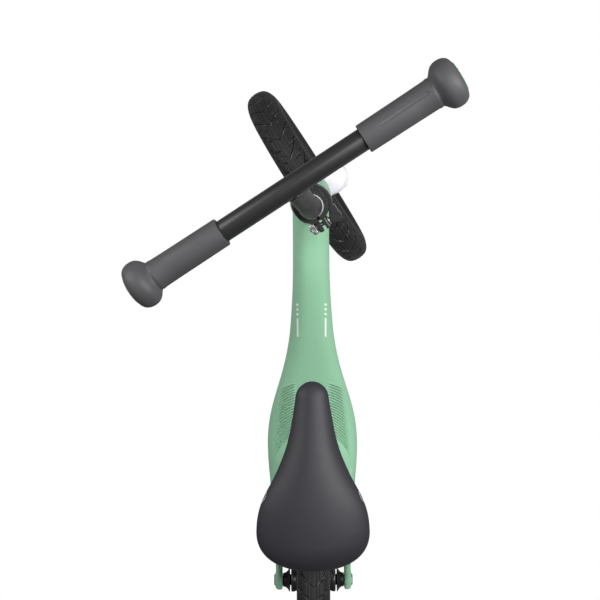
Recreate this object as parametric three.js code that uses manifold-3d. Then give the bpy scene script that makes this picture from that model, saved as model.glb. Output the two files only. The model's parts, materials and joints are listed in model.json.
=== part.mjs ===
// A child's balance bike: a cast frame, a one-armed cast fork, two solid-tyred wheels, a T-bar held by a
// cam clamp and a saddle on a clamped post. Millimetres. +Y is forward, +X is the rider's right and +Z is
// up. The origin is the middle of the rear tyre's contact patch. The bar and fork stand turned to the left.
import * as THREE from 'three';
import { mergeVertices } from 'three/addons/utils/BufferGeometryUtils.js';
import Module from 'manifold-3d';

const wasm = await Module();
wasm.setup();

// ---------------------------------------------------------------- driving dimensions

const GAP = 0.3;                      // between faces that touch on the real bike
const ROUND = 16;                     // sides of an ordinary round piece
const WHEEL_SIDES = 32;               // sides of a tyre or rim

const wheel = {
  radius: 142.5,                      // tyre, at the middle of its tread
  width: 46,                          // tyre, at its widest
  tyreDepth: 43,                      // from the tread down to the rim's seat
  rimHalfWidth: 15.5,
  rimDepth: 9.5,
  lipHeight: 5.5,
  lipThick: 2.7,
  spokes: 6,
  spokeWidth: 15,
  spokeDepth: 9,
  barrelRadius: 20,
  clearance: 9,                       // above the tread, to the frame
  sideClearance: 11,                  // beside the tyre, to the frame
};
const seatRadius = wheel.radius - wheel.tyreDepth;
const bearing = { outer: 11, width: 6, shoulder: 6.5 };
const axleRadius = 4.7;
const axleNut = { wall: 2.8, length: 7, wellClearance: 1.2 };
const nutAcrossFlats = 2 * (axleRadius + axleNut.wall);
const nutWellRadius = nutAcrossFlats / Math.sqrt(3) + axleNut.wellClearance;

const wheelbase = 597;
const headTilt = THREE.MathUtils.degToRad(15.5);
const forkRake = 7;
const steerAtRest = THREE.MathUtils.degToRad(32.5);

const flangeRadius = bearing.outer + bearing.shoulder;
const rear = {
  hubHalf: 32.6,                      // middle of the hub to its end face
  coneLength: 12.4,                   // hub end face to a dropout's inner face
  dropoutThick: 11,
  nutLength: 5.4,
  dropoutRadius: 13.5,
  stayThick: 9.5,
};
const dropoutInner = rear.hubHalf + rear.coneLength;
const dropoutOuter = dropoutInner + rear.dropoutThick;
const front = { hubHalf: 29, coneLength: 6.5, armThick: 19.5, armEndRadius: 15.5 };
const armInner = front.hubHalf + front.coneLength;
const armOuter = armInner + front.armThick;

const post = { radius: 12.7, lean: THREE.MathUtils.degToRad(32.7) };
const bar = { radius: 12.7, wall: 2, forward: 37.9, rise: 69, half: 206 };
const steerer = { clearance: 0.4, wall: 1.9, slotWidth: 3, slotLength: 34 };
const steererOuter = post.radius + steerer.clearance + steerer.wall;
const crown = { aboveTyre: 8.5, height: 35, wall: 6.5, shoulder: [31, 1], shoulderRadii: [25, 21.5] };
const headBearing = { height: 7, thick: 4.2 };
const head = { wall: 3.5, length: 106, cupWall: 3.3, cupDepth: 9 };
const ballRadius = steererOuter + headBearing.thick;
const cupRadius = ballRadius + head.cupWall;
const headRadius = cupRadius + head.wall;
const lockRing = { inset: 2, height: 8 };

// Heights up the steering axis, from the crown to the bar.
const crownBottom = wheel.radius + crown.aboveTyre;
const crownTop = crownBottom + crown.height;
const steererBottom = crownBottom + 10;
const headBottom = crownTop + 6;
const headTop = headBottom + head.length;
const barClampBottom = headTop + 26;
const steererTop = barClampBottom + 25;
const postBottom = headBottom + 44;
const postBend = steererTop + 13;
const barHeight = postBend + bar.rise;

const grip = { inward: 113.5, beyondBar: 8, wall: 4, outerWall: 4.9, flareWall: 15.3, flare: 28 };
const gripInnerEnd = bar.half - grip.inward;
const gripOuterEnd = bar.half + grip.beyondBar;
const plug = { lip: 7, head: 1.2, length: 12 };
const plugRadius = bar.radius - bar.wall - GAP;

const seatPost = { radius: 13.4, wall: 2, top: 122, length: 150 };
const sleeve = { clearance: 0.4, wall: 1.6 };
const sleeveInner = seatPost.radius + sleeve.clearance;
const sleeveOuter = sleeveInner + sleeve.wall;
const seatBore = sleeveOuter + GAP;
const seatTube = { tilt: THREE.MathUtils.degToRad(12), wall: 3.3, neckWall: 1.3, top: 72 };
const seatTubeOuter = seatBore + seatTube.wall;

const clampBand = { boltOut: 5.3, leverOut: 1.1 };
const barClamp = { height: 22, bore: steererOuter, band: 5.5 };
const seatClamp = { height: 20, bore: seatBore + seatTube.neckWall, band: 4.3, belowTop: 18 };
const clampBolt = { radius: 2.6, split: 4, earThick: 5.2, earHalf: 7.6, washer: 2.4 };
const clampNut = { radius: 7, length: 8 };
const lever = { thick: 4.6, headRadius: 7.4, headGap: 1.6, pinRadius: 3, sweep: 108, height: 13 };
const earOuter = clampBolt.split / 2 + clampBolt.earThick;
const leverPivotOut = earOuter + clampBolt.washer + lever.headRadius + lever.headGap;

const saddle = { behindPost: 89.6, aheadOfPost: 149.4, abovePost: 6.7, baseHeight: 9, coverHeight: 31 };
const saddleBolt = { radius: 3, headRadius: 5.5, headHeight: 3.5, depth: 5, spread: 31 };

// Half width of the saddle at shares of its length from the tail.
const saddleOutline = [[0, 0], [0.012, 26], [0.04, 46], [0.085, 60], [0.14, 68], [0.21, 72], [0.3, 70],
  [0.38, 62.5], [0.45, 54], [0.52, 45], [0.6, 36.5], [0.68, 30], [0.76, 26.3], [0.84, 24.2], [0.9, 21.8],
  [0.95, 17.5], [0.985, 10.5], [1, 0]];

const axleHeight = wheel.radius * Math.cos(Math.PI / WHEEL_SIDES);

// The frame hangs between its two ends: the foot of the seat tube and the middle of the head.
const seatFoot = { y: wheel.radius + 25.5, z: axleHeight + 94.2 };
const headMiddle = {
  y: wheelbase - forkRake * Math.cos(headTilt) - (headBottom + head.length / 2) * Math.sin(headTilt),
  z: axleHeight - forkRake * Math.sin(headTilt) + (headBottom + head.length / 2) * Math.cos(headTilt),
};
// Sections of the frame's body: [share of the way to the head, half width, top, bottom], with the heights
// counted from the straight line between the two ends.
const frameBody = [[1, 23.2, 32.3, -37.7], [0.925, 23.3, 33.5, -47.5], [0.835, 23.6, 33.1, -53.9],
  [0.74, 24.2, 29.4, -59.6], [0.622, 26.6, 18.9, -69.1], [0.502, 31.3, 6.7, -77.3],
  [0.39, 40.8, -4.6, -82.6], [0.331, 47.5, -9.3, -84.3], [0.263, 55, -12.9, -82.9],
  [0.196, 60.5, -13.5, -79.5], [0.129, 63, -11.1, -74.1], [0.056, 62.8, -6.8, -67.8], [0, 61.6, -4, -63]];
// Sections of one rear stay: [share of the way from the dropout to the body, middle beyond the dropout's
// inner face, half thickness, top, bottom], with the heights counted from the line between its two ends.
const stayPath = [[1.07, 5.5, 10.8, -12.7, -65.7], [0.893, 5.7, 9.6, -1.9, -55.9],
  [0.702, 5.8, 7.8, 4.1, -43.9], [0.5, 5.6, 6.2, 7.1, -32.9], [0.298, 5, 5.4, 10.1, -22.9],
  [0.119, 4.8, 4.9, 13, -14], [0, 4.8, 4.75, 14.2, -11.8]];
// Sections of the fork's arm: [share of the crown's height, middle from the middle of its end, half width,
// half depth].
const armPath = [[0.957, -3.25, 13.5, 20], [0.806, -3.05, 13.2, 20], [0.645, -3.25, 12.2, 18.4],
  [0.452, -2.85, 11, 16.8], [0.269, -1.65, 10.3, 15.8], [0.118, -0.45, 9.6, 15.3], [0, -0.05, 9.2, 15]];

const colours = {
  mint: 0x8fc4a0, white: 0xeae6f2, black: 0x1c1c1e, rubber: 0x333437, tread: 0x29292b, steel: 0xb9b9bb,
  plum: 0x37333a, darkPlastic: 0x242326,
};

// ---------------------------------------------------------------- geometry helpers

/** Keep positions only, weld them, drop slivers and make the faces point out. */
function closed(geometry) {
  const bare = geometry.clone();
  for (const name of Object.keys(bare.attributes)) {
    if (name !== 'position') bare.deleteAttribute(name);
  }
  const welded = mergeVertices(bare, 1e-3);
  const place = welded.attributes.position;
  const index = welded.index.array;
  const kept = [];
  let volume = 0;
  const corner = [new THREE.Vector3(), new THREE.Vector3(), new THREE.Vector3()];
  for (let i = 0; i < index.length; i += 3) {
    const [a, b, c] = [index[i], index[i + 1], index[i + 2]];
    if (a === b || b === c || c === a) continue;
    kept.push(a, b, c);
    [a, b, c].forEach((vertex, k) => corner[k].fromBufferAttribute(place, vertex));
    volume += corner[0].dot(corner[1].clone().cross(corner[2]));
  }
  if (volume < 0) {
    for (let i = 0; i < kept.length; i += 3) [kept[i + 1], kept[i + 2]] = [kept[i + 2], kept[i + 1]];
  }
  welded.setIndex(kept);
  return welded;
}

function solid(geometry) {
  const shape = closed(geometry);
  return new wasm.Manifold(new wasm.Mesh({
    numProp: 3,
    vertProperties: Float32Array.from(shape.attributes.position.array),
    triVerts: Uint32Array.from(shape.index.array),
  }));
}

function geometryOf(body) {
  const mesh = body.getMesh();
  const geometry = new THREE.BufferGeometry();
  geometry.setAttribute('position', new THREE.BufferAttribute(new Float32Array(mesh.vertProperties), 3));
  geometry.setIndex(Array.from(mesh.triVerts));
  return geometry;
}

/** Join the first list of geometries and cut the second list away. */
function carve(parts, tools = []) {
  let body = solid(parts[0]);
  for (const part of parts.slice(1)) body = body.add(solid(part));
  for (const tool of tools) body = body.subtract(solid(tool));
  return geometryOf(body);
}

/** Turn a closed [radius, height] profile about Z. */
function turned(profile, sides = ROUND) {
  const points = profile.map(([radius, height]) => new THREE.Vector2(radius, height));
  if (profile[0][0] > 0) points.push(points[0].clone());
  const geometry = new THREE.LatheGeometry(points, sides);
  geometry.rotateX(Math.PI / 2);
  return geometry;
}

const rod = (radius, from, to, sides = ROUND) => (
  turned([[0, from], [radius, from], [radius, to], [0, to]], sides));

function ring(inner, outer, from, to, sides = ROUND) {
  return turned([[inner, from], [outer, from], [outer, to], [inner, to]], sides);
}

/** A rod with its two rims softened. */
function softRod(radius, from, to, soft, sides = ROUND) {
  return turned([[0, from], [radius - soft, from], [radius, from + soft], [radius, to - soft],
    [radius - soft, to], [0, to]], sides);
}

function block(width, depth, height, x = 0, y = 0, z = 0) {
  return new THREE.BoxGeometry(width, depth, height).translate(x, y, z);
}

/** Pull an outline of [x, y] points up along Z. */
function plate(outline, from, to) {
  const shape = new THREE.Shape(outline.map(([x, y]) => new THREE.Vector2(x, y)));
  return new THREE.ExtrudeGeometry(shape, { depth: to - from, bevelEnabled: false }).translate(0, 0, from);
}

/** Skin a list of closed rings that all have the same number of points. */
function loft(rings) {
  const count = rings[0].length;
  const position = rings.flat().flatMap((point) => [point.x, point.y, point.z]);
  const index = [];
  for (let i = 0; i + 1 < rings.length; i += 1) {
    for (let j = 0; j < count; j += 1) {
      const a = i * count + j;
      const b = i * count + ((j + 1) % count);
      index.push(a, b, b + count, a, b + count, a + count);
    }
  }
  for (const [start, flip] of [[0, true], [(rings.length - 1) * count, false]]) {
    for (let j = 1; j + 1 < count; j += 1) {
      index.push(start, flip ? start + j + 1 : start + j, flip ? start + j : start + j + 1);
    }
  }
  const geometry = new THREE.BufferGeometry();
  geometry.setAttribute('position', new THREE.Float32BufferAttribute(position, 3));
  geometry.setIndex(index);
  return geometry;
}

/** A rounded-square ring of points: power 2 is an ellipse and higher powers are squarer. */
function superRing(count, power, place) {
  return Array.from({ length: count }, (_, i) => {
    const angle = ((i + 0.5) / count) * Math.PI * 2;
    const bend = (value) => Math.sign(value) * Math.abs(value) ** (2 / power);
    return place(bend(Math.cos(angle)), bend(Math.sin(angle)));
  });
}

/** Lay a Z-axis geometry along X. */
const alongX = (geometry) => geometry.rotateY(Math.PI / 2);

const material = (colour, roughness, metalness = 0) => new THREE.MeshStandardMaterial({
  color: colour, roughness, metalness,
});

function addPiece(group, name, geometry, look) {
  const mesh = new THREE.Mesh(closed(geometry), look());
  mesh.name = name;
  group.add(mesh);
  return mesh;
}

const look = {
  mint: () => material(colours.mint, 0.42),
  white: () => material(colours.white, 0.4),
  black: () => material(colours.black, 0.4, 0.2),
  rubber: () => material(colours.rubber, 0.75),
  tread: () => material(colours.tread, 0.85),
  steel: () => material(colours.steel, 0.3, 0.9),
  plum: () => material(colours.plum, 0.5),
  plastic: () => material(colours.darkPlastic, 0.6),
};

// ---------------------------------------------------------------- frames of reference

const bike = new THREE.Group();

/** The turned front end: its own Z runs up the steering axis and its Y points forward. */
const steering = new THREE.Group();
steering.rotation.set(headTilt, 0, 0);
steering.position.set(
  0, wheelbase - forkRake * Math.cos(headTilt), axleHeight - forkRake * Math.sin(headTilt));
bike.add(steering);
const turnedFront = new THREE.Group();
turnedFront.rotation.z = steerAtRest;
steering.add(turnedFront);

/** The head of the frame shares the steering axis and doesn't turn. */
const headGroup = new THREE.Group();
steering.add(headGroup);

/** The seat tube's own Z runs up along the tube. */
const seatGroup = new THREE.Group();
seatGroup.rotation.x = seatTube.tilt;
seatGroup.position.set(0, seatFoot.y, seatFoot.z);
bike.add(seatGroup);

const toFrame = (group, geometry) => {
  bike.updateMatrixWorld(true);
  return geometry.applyMatrix4(group.matrixWorld);
};

// ---------------------------------------------------------------- frame

/** A smooth bar through sections, each with its middle x, y, half width, top and bottom. */
function sectionLoft(sections, sides, power) {
  return loft(sections.map(([x, y, half, top, bottom]) => superRing(sides, power, (u, v) => (
    new THREE.Vector3(x + u * half, y, (top + bottom) / 2 + (v * (top - bottom)) / 2)))));
}

function bodyShell() {
  return sectionLoft(frameBody.map(([share, half, top, bottom]) => {
    const line = THREE.MathUtils.lerp(seatFoot.z, headMiddle.z, share);
    return [0, THREE.MathUtils.lerp(seatFoot.y, headMiddle.y, share), half, line + top, line + bottom];
  }), 16, 2.6);
}

function stayShell(side) {
  return sectionLoft(stayPath.map(([share, out, half, top, bottom]) => {
    const line = THREE.MathUtils.lerp(axleHeight, seatFoot.z, share);
    return [side * (dropoutInner + out), seatFoot.y * share, half, line + top, line + bottom];
  }), 10, 3);
}

/** The round boss and the small plate behind it that hold one end of the rear axle. */
function dropoutShells(side) {
  const boss = alongX(rod(rear.dropoutRadius, dropoutInner, dropoutOuter));
  const radius = rear.dropoutRadius;
  const outline = [[-radius, 12], [-radius, -11], [-2, -17], [9, -15], [12, 0]];
  const plateShell = plate(outline, dropoutInner, dropoutInner + rear.stayThick);
  plateShell.rotateX(-Math.PI / 2).rotateZ(-Math.PI / 2).scale(-1, 1, 1);
  return [boss, plateShell].map((shell) => shell.scale(side, 1, 1).translate(0, 0, axleHeight));
}

function headTubeShell() {
  return toFrame(headGroup, turned([[0, headBottom], [headRadius - 1.2, headBottom],
    [headRadius, headBottom + 2], [headRadius, headTop - 8], [headRadius - 0.7, headTop - 2],
    [headRadius - 2.2, headTop], [0, headTop]]));
}

function seatTubeShells() {
  const shoulder = seatTube.top - seatClamp.belowTop;
  const skirt = seatTubeOuter + 7;
  const tube = turned([[0, -30], [skirt, -30], [seatTubeOuter + 2, 0], [seatTubeOuter, 14],
    [seatTubeOuter, shoulder - 2], [seatTubeOuter - 1.2, shoulder - 1], [0, shoulder - 1]]);
  const neck = rod(seatClamp.bore, shoulder - 2, seatTube.top + 1.2);
  return [tube, neck].map((shell) => toFrame(seatGroup, shell));
}

/** What is cut out of the frame: the head's ends, the seat bore and its slot, the wheel and its axle. */
function frameCuts() {
  const cupDepth = head.cupDepth + GAP;
  const cups = [[headBottom - 1, headBottom + cupDepth], [headTop - cupDepth, headTop + 1]];
  const cuts = cups.map(([from, to]) => toFrame(headGroup, rod(cupRadius + GAP, from, to)));
  cuts.push(toFrame(headGroup, rod(steererOuter + 2.5, headBottom - 1, headTop + 1)));
  cuts.push(toFrame(seatGroup, rod(seatBore, -60, seatTube.top + 3)));
  cuts.push(toFrame(seatGroup, block(3, 14, 26, 0, -seatBore, seatTube.top - 8)));
  const around = wheel.radius + wheel.clearance;
  const beside = wheel.width / 2 + wheel.sideClearance;
  cuts.push(alongX(rod(around, -beside, beside, 48)).translate(0, 0, axleHeight));
  const axleHole = rod(axleRadius + GAP, -dropoutOuter - 1, dropoutOuter + 1);
  cuts.push(alongX(axleHole).translate(0, 0, axleHeight));
  for (const side of [-1, 1]) {
    const socket = rod(nutWellRadius, dropoutInner + 7, dropoutOuter + 1);
    cuts.push(alongX(socket).scale(side, 1, 1).translate(0, 0, axleHeight));
  }
  return cuts;
}

function frameGeometry() {
  const shells = [bodyShell(), headTubeShell(), ...seatTubeShells(), stayShell(1), stayShell(-1),
    ...dropoutShells(1), ...dropoutShells(-1)];
  return carve(shells, frameCuts());
}

addPiece(bike, 'frame', frameGeometry(), look.mint);

// ---------------------------------------------------------------- headset

function cupGeometry(up) {
  const lip = 1.4;
  const floor = steererOuter + 1.5;
  const lipRadius = cupRadius + 0.7;
  const profile = [[ballRadius + GAP, -lip], [lipRadius, -lip], [lipRadius, -GAP], [cupRadius, -GAP],
    [cupRadius, head.cupDepth], [floor, head.cupDepth], [floor, head.cupDepth - 2],
    [ballRadius + GAP, head.cupDepth - 2]];
  const face = up ? headTop : headBottom;
  return turned(profile.map(([radius, height]) => [radius, up ? face - height : face + height]));
}

// The steerer turns inside, so the flats of this bore stay clear of its corners.
const turningBore = (steererOuter + GAP) / Math.cos(Math.PI / ROUND);
for (const [name, up] of [['headset_lower_cup', false], ['headset_upper_cup', true]]) {
  addPiece(headGroup, name, cupGeometry(up), look.black);
  const inward = headBearing.height - 0.6;
  const [from, to] = up ? [headTop - inward, headTop + 0.6] : [headBottom - 0.6, headBottom + inward];
  addPiece(headGroup, name.replace('cup', 'bearing'), ring(turningBore, ballRadius, from, to), look.steel);
}

// ---------------------------------------------------------------- clamps

/**
 * The cam clamp around a round post: collar, bolt, washer, cam lever and knurled nut. Its ears point to
 * -Y, and a side of -1 puts the lever on the left.
 */
function addClamp(group, prefix, clamp, bottom, side) {
  const middle = bottom + clamp.height / 2;
  const outer = clamp.bore + clamp.band;
  const boltOut = outer + clampBand.boltOut;
  const placed = (geometry) => geometry.scale(side, 1, 1).translate(0, -boltOut, middle);
  const boltHole = (from, to) => alongX(rod(clampBolt.radius + GAP, from, to));

  const reach = boltOut + clampBolt.earHalf;
  const earLength = reach - clamp.bore;
  const ears = block(earOuter * 2, earLength, clamp.height - 5, 0, -clamp.bore - earLength / 2, middle);
  const band = ring(clamp.bore + GAP, outer, bottom, bottom + clamp.height, 24);
  const bore = rod(clamp.bore + GAP, bottom - 1, bottom + clamp.height + 1, 24);
  const split = block(clampBolt.split, reach, clamp.height + 2, 0, -clamp.bore - reach / 2, middle);
  const collar = carve([band, ears], [bore, placed(boltHole(-30, 30)), split]);
  addPiece(group, `${prefix}_collar`, collar, look.black);

  const [near, far] = [earOuter + GAP, earOuter + clampBolt.washer];
  const washer = carve([alongX(rod(6, near, far))], [boltHole(near - 1, far + 1)]);
  addPiece(group, `${prefix}_washer`, placed(washer), look.steel);

  const pinHalf = (lever.height - 1) / 2;
  const pin = rod(lever.pinRadius, -pinHalf, pinHalf, 16).translate(leverPivotOut, 0, 0);
  const shank = alongX(rod(clampBolt.radius, -(near + clampNut.length + 1), leverPivotOut, 16));
  addPiece(group, `${prefix}_bolt`, placed(carve([shank, pin])), look.steel);

  const nutFar = near + clampNut.length;
  const nutBody = alongX(softRod(clampNut.radius, near, nutFar, 0.8, 24));
  const nut = carve([nutBody], [boltHole(near - 1, nutFar + 2)]);
  addPiece(group, `${prefix}_nut`, placed(nut.scale(-1, 1, 1)), look.steel);

  addPiece(group, `${prefix}_lever`, placed(leverGeometry(outer + clampBand.leverOut, boltOut)), look.black);
}

/** A cam lever about its bolt's middle: a head on the pin, and a handle that lies along the collar. */
function leverGeometry(innerRadius, boltOut) {
  const half = lever.height / 2;
  const start = Math.atan2(5 - boltOut, leverPivotOut);
  const steps = 14;
  const rim = (radius, growth) => Array.from({ length: steps + 1 }, (_, i) => {
    const angle = start + (THREE.MathUtils.degToRad(lever.sweep) * i) / steps;
    const reachOut = radius + growth * (i / steps) ** 2;
    return [reachOut * Math.cos(angle), reachOut * Math.sin(angle) + boltOut];
  });
  const outline = [...rim(innerRadius + lever.thick, 0), ...rim(innerRadius, 0.8).reverse()];
  const handle = plate(outline, -half, half);
  const onPin = (radius, height, sides = 24) => (
    rod(radius, -height, height, sides).translate(leverPivotOut, 0, 0));
  const neck = block(6, 10, lever.height, leverPivotOut + 3.4, 7.5, 0);
  const slotHalf = clampBolt.radius + 0.6;
  const boltSlot = block(24, 22, slotHalf * 2, leverPivotOut - 12, 0, 0);
  return carve([handle, onPin(lever.headRadius, half), neck],
    [onPin(lever.pinRadius + GAP, lever.height, 16), onPin(lever.headRadius + GAP, slotHalf), boltSlot]);
}

addClamp(turnedFront, 'bar_clamp', barClamp, barClampBottom, 1);
addClamp(seatGroup, 'seat_clamp', seatClamp, seatTube.top - seatClamp.belowTop, -1);

// ---------------------------------------------------------------- fork and steerer

/** The crown: a round around the steerer and a wider one over the arm, joined by a bridge. */
function crownShells() {
  const [shoulderX, shoulderY] = crown.shoulder;
  const endRadius = steererOuter + crown.wall;
  const levels = [[crownBottom, 0.9], [crownBottom + 4, 0.975], [crownBottom + 9, 1], [crownTop - 12, 1],
    [crownTop - 5, 0.965], [crownTop - 1.5, 0.88], [crownTop, 0.78]];
  const round = ([x, y], [wide, deep]) => loft(levels.map(([z, share]) => superRing(22, 2, (u, v) => (
    new THREE.Vector3(x + u * wide * share, y + v * deep * share, z)))));
  const bridge = loft(levels.map(([z, share]) => [[0, -1], [1, -1], [1, 1], [0, 1]].map(([along, across]) => (
    new THREE.Vector3(along * shoulderX, across * endRadius * share + along * shoulderY, z)))));
  return [round([0, 0], [endRadius, endRadius]), round(crown.shoulder, crown.shoulderRadii), bridge];
}

function forkGeometry() {
  const armMiddle = (armInner + armOuter) / 2;
  const arm = loft(armPath.map(([share, out, halfWidth, halfDepth]) => superRing(18, 2.4, (u, v) => {
    const y = THREE.MathUtils.lerp(forkRake, crown.shoulder[1], share);
    return new THREE.Vector3(armMiddle + out + u * halfWidth, y + v * halfDepth, share * crownTop);
  })));
  const onAxle = (radius, from, to) => alongX(rod(radius, from, to)).translate(0, forkRake, 0);
  const socket = rod(steererOuter + GAP, steererBottom - GAP, crownTop + 1);
  return carve([...crownShells(), arm, onAxle(front.armEndRadius, armInner, armOuter - 1)],
    [socket, onAxle(axleRadius + GAP, armInner - 5, armOuter + 5),
      onAxle(nutWellRadius, armOuter - 6, armOuter + 5)]);
}

addPiece(turnedFront, 'fork', forkGeometry(), look.white);

const slot = block(steerer.slotWidth, steererOuter * 2, steerer.slotLength, 0, -steererOuter,
  steererTop - steerer.slotLength / 2 + 1);
const steererPipe = ring(steererOuter - steerer.wall, steererOuter, steererBottom, steererTop);
addPiece(turnedFront, 'steerer_tube', carve([steererPipe], [slot]), look.steel);

const onSteerer = steererOuter + GAP;
const raceTop = crownTop + 4;
addPiece(turnedFront, 'crown_race', turned([[onSteerer, crownTop + GAP], [ballRadius - 0.2, crownTop + GAP],
  [ballRadius - 0.8, raceTop], [onSteerer, raceTop]]), look.steel);

const lockBottom = headTop + 2;
const lockTop = lockBottom + lockRing.height;
const lockRadius = headRadius - lockRing.inset;
addPiece(turnedFront, 'headset_lock_ring', turned([[onSteerer, lockBottom], [lockRadius, lockBottom],
  [lockRadius, lockTop - 3], [lockRadius - 2.4, lockTop], [onSteerer, lockTop]]), look.black);
addPiece(turnedFront, 'headset_spacer',
  ring(onSteerer, steererOuter + 3.2, lockTop + GAP, barClampBottom - GAP),
  look.black);

// ---------------------------------------------------------------- bar

function postGeometry() {
  const top = new THREE.Vector3(0, bar.forward, barHeight);
  const knee = new THREE.Vector3(0, 0, barHeight - bar.forward / Math.tan(post.lean));
  const bendStart = new THREE.Vector3(0, 0, postBend);
  const elbow = knee.clone().lerp(top, 0.42);
  const path = new THREE.CurvePath();
  path.add(new THREE.LineCurve3(new THREE.Vector3(0, 0, postBottom), bendStart));
  path.add(new THREE.QuadraticBezierCurve3(bendStart, knee, elbow));
  path.add(new THREE.LineCurve3(elbow, top));
  const circle = new THREE.Shape(Array.from({ length: ROUND }, (_, i) => {
    const angle = (i * 2 * Math.PI) / ROUND;
    return new THREE.Vector2(post.radius * Math.cos(angle), post.radius * Math.sin(angle));
  }));
  const pipe = new THREE.ExtrudeGeometry(circle, { steps: 16, extrudePath: path, bevelEnabled: false });
  const reach = 3 * bar.radius;
  const seat = acrossBar(rod(bar.radius + GAP, -reach, reach));
  const beyond = block(reach * 2, reach * 2, 60, 0, 0, 30)
    .rotateX(-post.lean).translate(0, bar.forward, barHeight);
  const plugBore = rod(post.radius - bar.wall, postBottom - 1, postBend - 6);
  return carve([pipe], [seat, beyond, plugBore]);
}

const acrossBar = (geometry) => alongX(geometry).translate(0, bar.forward, barHeight);
addPiece(turnedFront, 'stem_post', postGeometry(), look.black);
const postPlugRadius = post.radius - bar.wall - GAP;
addPiece(turnedFront, 'stem_post_plug', turned([[0, postBottom - 2.5], [post.radius - 1.2, postBottom - 2.5],
  [post.radius, postBottom - 1.4], [post.radius, postBottom - GAP], [postPlugRadius, postBottom - GAP],
  [postPlugRadius, postBottom + plug.length], [0, postBottom + plug.length]]), look.plastic);
addPiece(turnedFront, 'handlebar_tube',
  acrossBar(ring(bar.radius - bar.wall, bar.radius, -bar.half, bar.half)),
  look.black);

/** A grip around the bar: a nearly straight sleeve that swells into a mushroom at its outer end. */
function gripGeometry() {
  const flareStart = gripOuterEnd - grip.flare;
  const onBar = bar.radius + GAP;
  const [inner, outer, flare] = [grip.wall, grip.outerWall, grip.flareWall].map((wall) => bar.radius + wall);
  const mouth = plugRadius + GAP;
  return turned([[onBar, gripInnerEnd], [inner - 0.8, gripInnerEnd], [inner, gripInnerEnd + 1],
    [outer, flareStart - 5], [outer + 0.3, flareStart - 1.5], [outer + 1.6, flareStart],
    [flare - 4.4, flareStart + 4], [flare - 2.2, flareStart + 7], [flare - 0.2, flareStart + 12],
    [flare, flareStart + 15.5], [flare - 1.1, gripOuterEnd - 6.5], [flare - 4.8, gripOuterEnd - 2],
    [plugRadius + plug.lip + 0.2, gripOuterEnd], [mouth, gripOuterEnd], [mouth, bar.half + GAP],
    [onBar, bar.half + GAP]]);
}

function plugGeometry() {
  const face = gripOuterEnd + plug.head;
  const rim = plugRadius + plug.lip;
  return turned([[0, bar.half - plug.length], [plugRadius, bar.half - plug.length],
    [plugRadius, gripOuterEnd + GAP], [rim, gripOuterEnd + GAP], [rim - 0.6, face], [0, face]]);
}

for (const [side, word] of [[-1, 'left'], [1, 'right']]) {
  const placed = (geometry) => alongX(geometry).scale(side, 1, 1).translate(0, bar.forward, barHeight);
  addPiece(turnedFront, `grip_${word}`, placed(gripGeometry()), look.rubber);
  addPiece(turnedFront, `grip_plug_${word}`, placed(plugGeometry()), look.mint);
}

// ---------------------------------------------------------------- wheels

function tyreGeometry() {
  const edge = wheel.width / 2;
  const bead = wheel.rimHalfWidth - wheel.lipThick - GAP;
  const half = [[seatRadius, bead], [seatRadius + wheel.lipHeight + 1.5, bead],
    [seatRadius + wheel.lipHeight + 3, edge * 0.82], [wheel.radius - 21, edge],
    [wheel.radius - 7.5, edge * 0.78], [wheel.radius, edge * 0.26]];
  const mirrored = half.map(([radius, across]) => [radius, -across]).reverse();
  return turned([...half, ...mirrored], WHEEL_SIDES).rotateZ(Math.PI / 2 + Math.PI / WHEEL_SIDES);
}

/** Rim, spokes and hub shell in one casting. */
function wheelCasting(hub) {
  const seat = seatRadius - GAP;
  const halfWidth = wheel.rimHalfWidth;
  const well = halfWidth - wheel.lipThick;
  const lip = seatRadius + wheel.lipHeight;
  const inner = seat - wheel.rimDepth;
  const rim = turned([[inner, -8], [inner, 8], [inner + 4, halfWidth], [lip, halfWidth], [lip, well],
    [seat, well], [seat, -well], [lip, -well], [lip, -halfWidth], [inner + 4, -halfWidth]], WHEEL_SIDES)
    .rotateZ(Math.PI / 2 + Math.PI / WHEEL_SIDES);
  const end = hub.hubHalf;
  const halfShell = [[0, end], [flangeRadius, end], [flangeRadius, end - 6],
    [wheel.barrelRadius - 4, end - 7], [wheel.barrelRadius, 12]];
  const shell = turned([...halfShell.map(([radius, across]) => [radius, -across]), ...halfShell.reverse()]);
  const spoke = (angle) => {
    const from = wheel.barrelRadius - 4;
    const to = inner + 2;
    const rings = [[from, 1.25], [(from + to) / 2, 0.8], [to, 1.15]].map(([radius, share]) => (
      superRing(8, 3, (u, v) => new THREE.Vector3(u * wheel.spokeWidth * share * 0.5, radius,
        v * wheel.spokeDepth))));
    return loft(rings).rotateZ(angle);
  };
  const spokes = Array.from({ length: wheel.spokes }, (_, i) => spoke((i * 2 * Math.PI) / wheel.spokes));
  const pocket = bearing.outer + GAP;
  const floor = end - bearing.width - 0.8;
  return carve([rim, shell, ...spokes],
    [rod(axleRadius + 2.5, -end - 1, end + 1), rod(pocket, floor, end + 1), rod(pocket, -end - 1, -floor)]);
}

function addWheel(group, prefix, hub, place) {
  const placed = (geometry) => alongX(geometry).translate(...place);
  addPiece(group, `${prefix}_tyre`, placed(tyreGeometry()), look.tread);
  addPiece(group, `${prefix}_wheel_casting`, placed(wheelCasting(hub)), look.black);
  for (const [side, word] of [[-1, 'left'], [1, 'right']]) {
    const outerFace = hub.hubHalf - 0.4;
    const race = ring(axleRadius + GAP, bearing.outer, outerFace - bearing.width, outerFace);
    addPiece(group, `${prefix}_bearing_${word}`, placed(race.scale(1, 1, side)), look.steel);
  }
}

addWheel(bike, 'rear', rear, [0, 0, axleHeight]);
addWheel(turnedFront, 'front', front, [0, forkRake, 0]);

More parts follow.
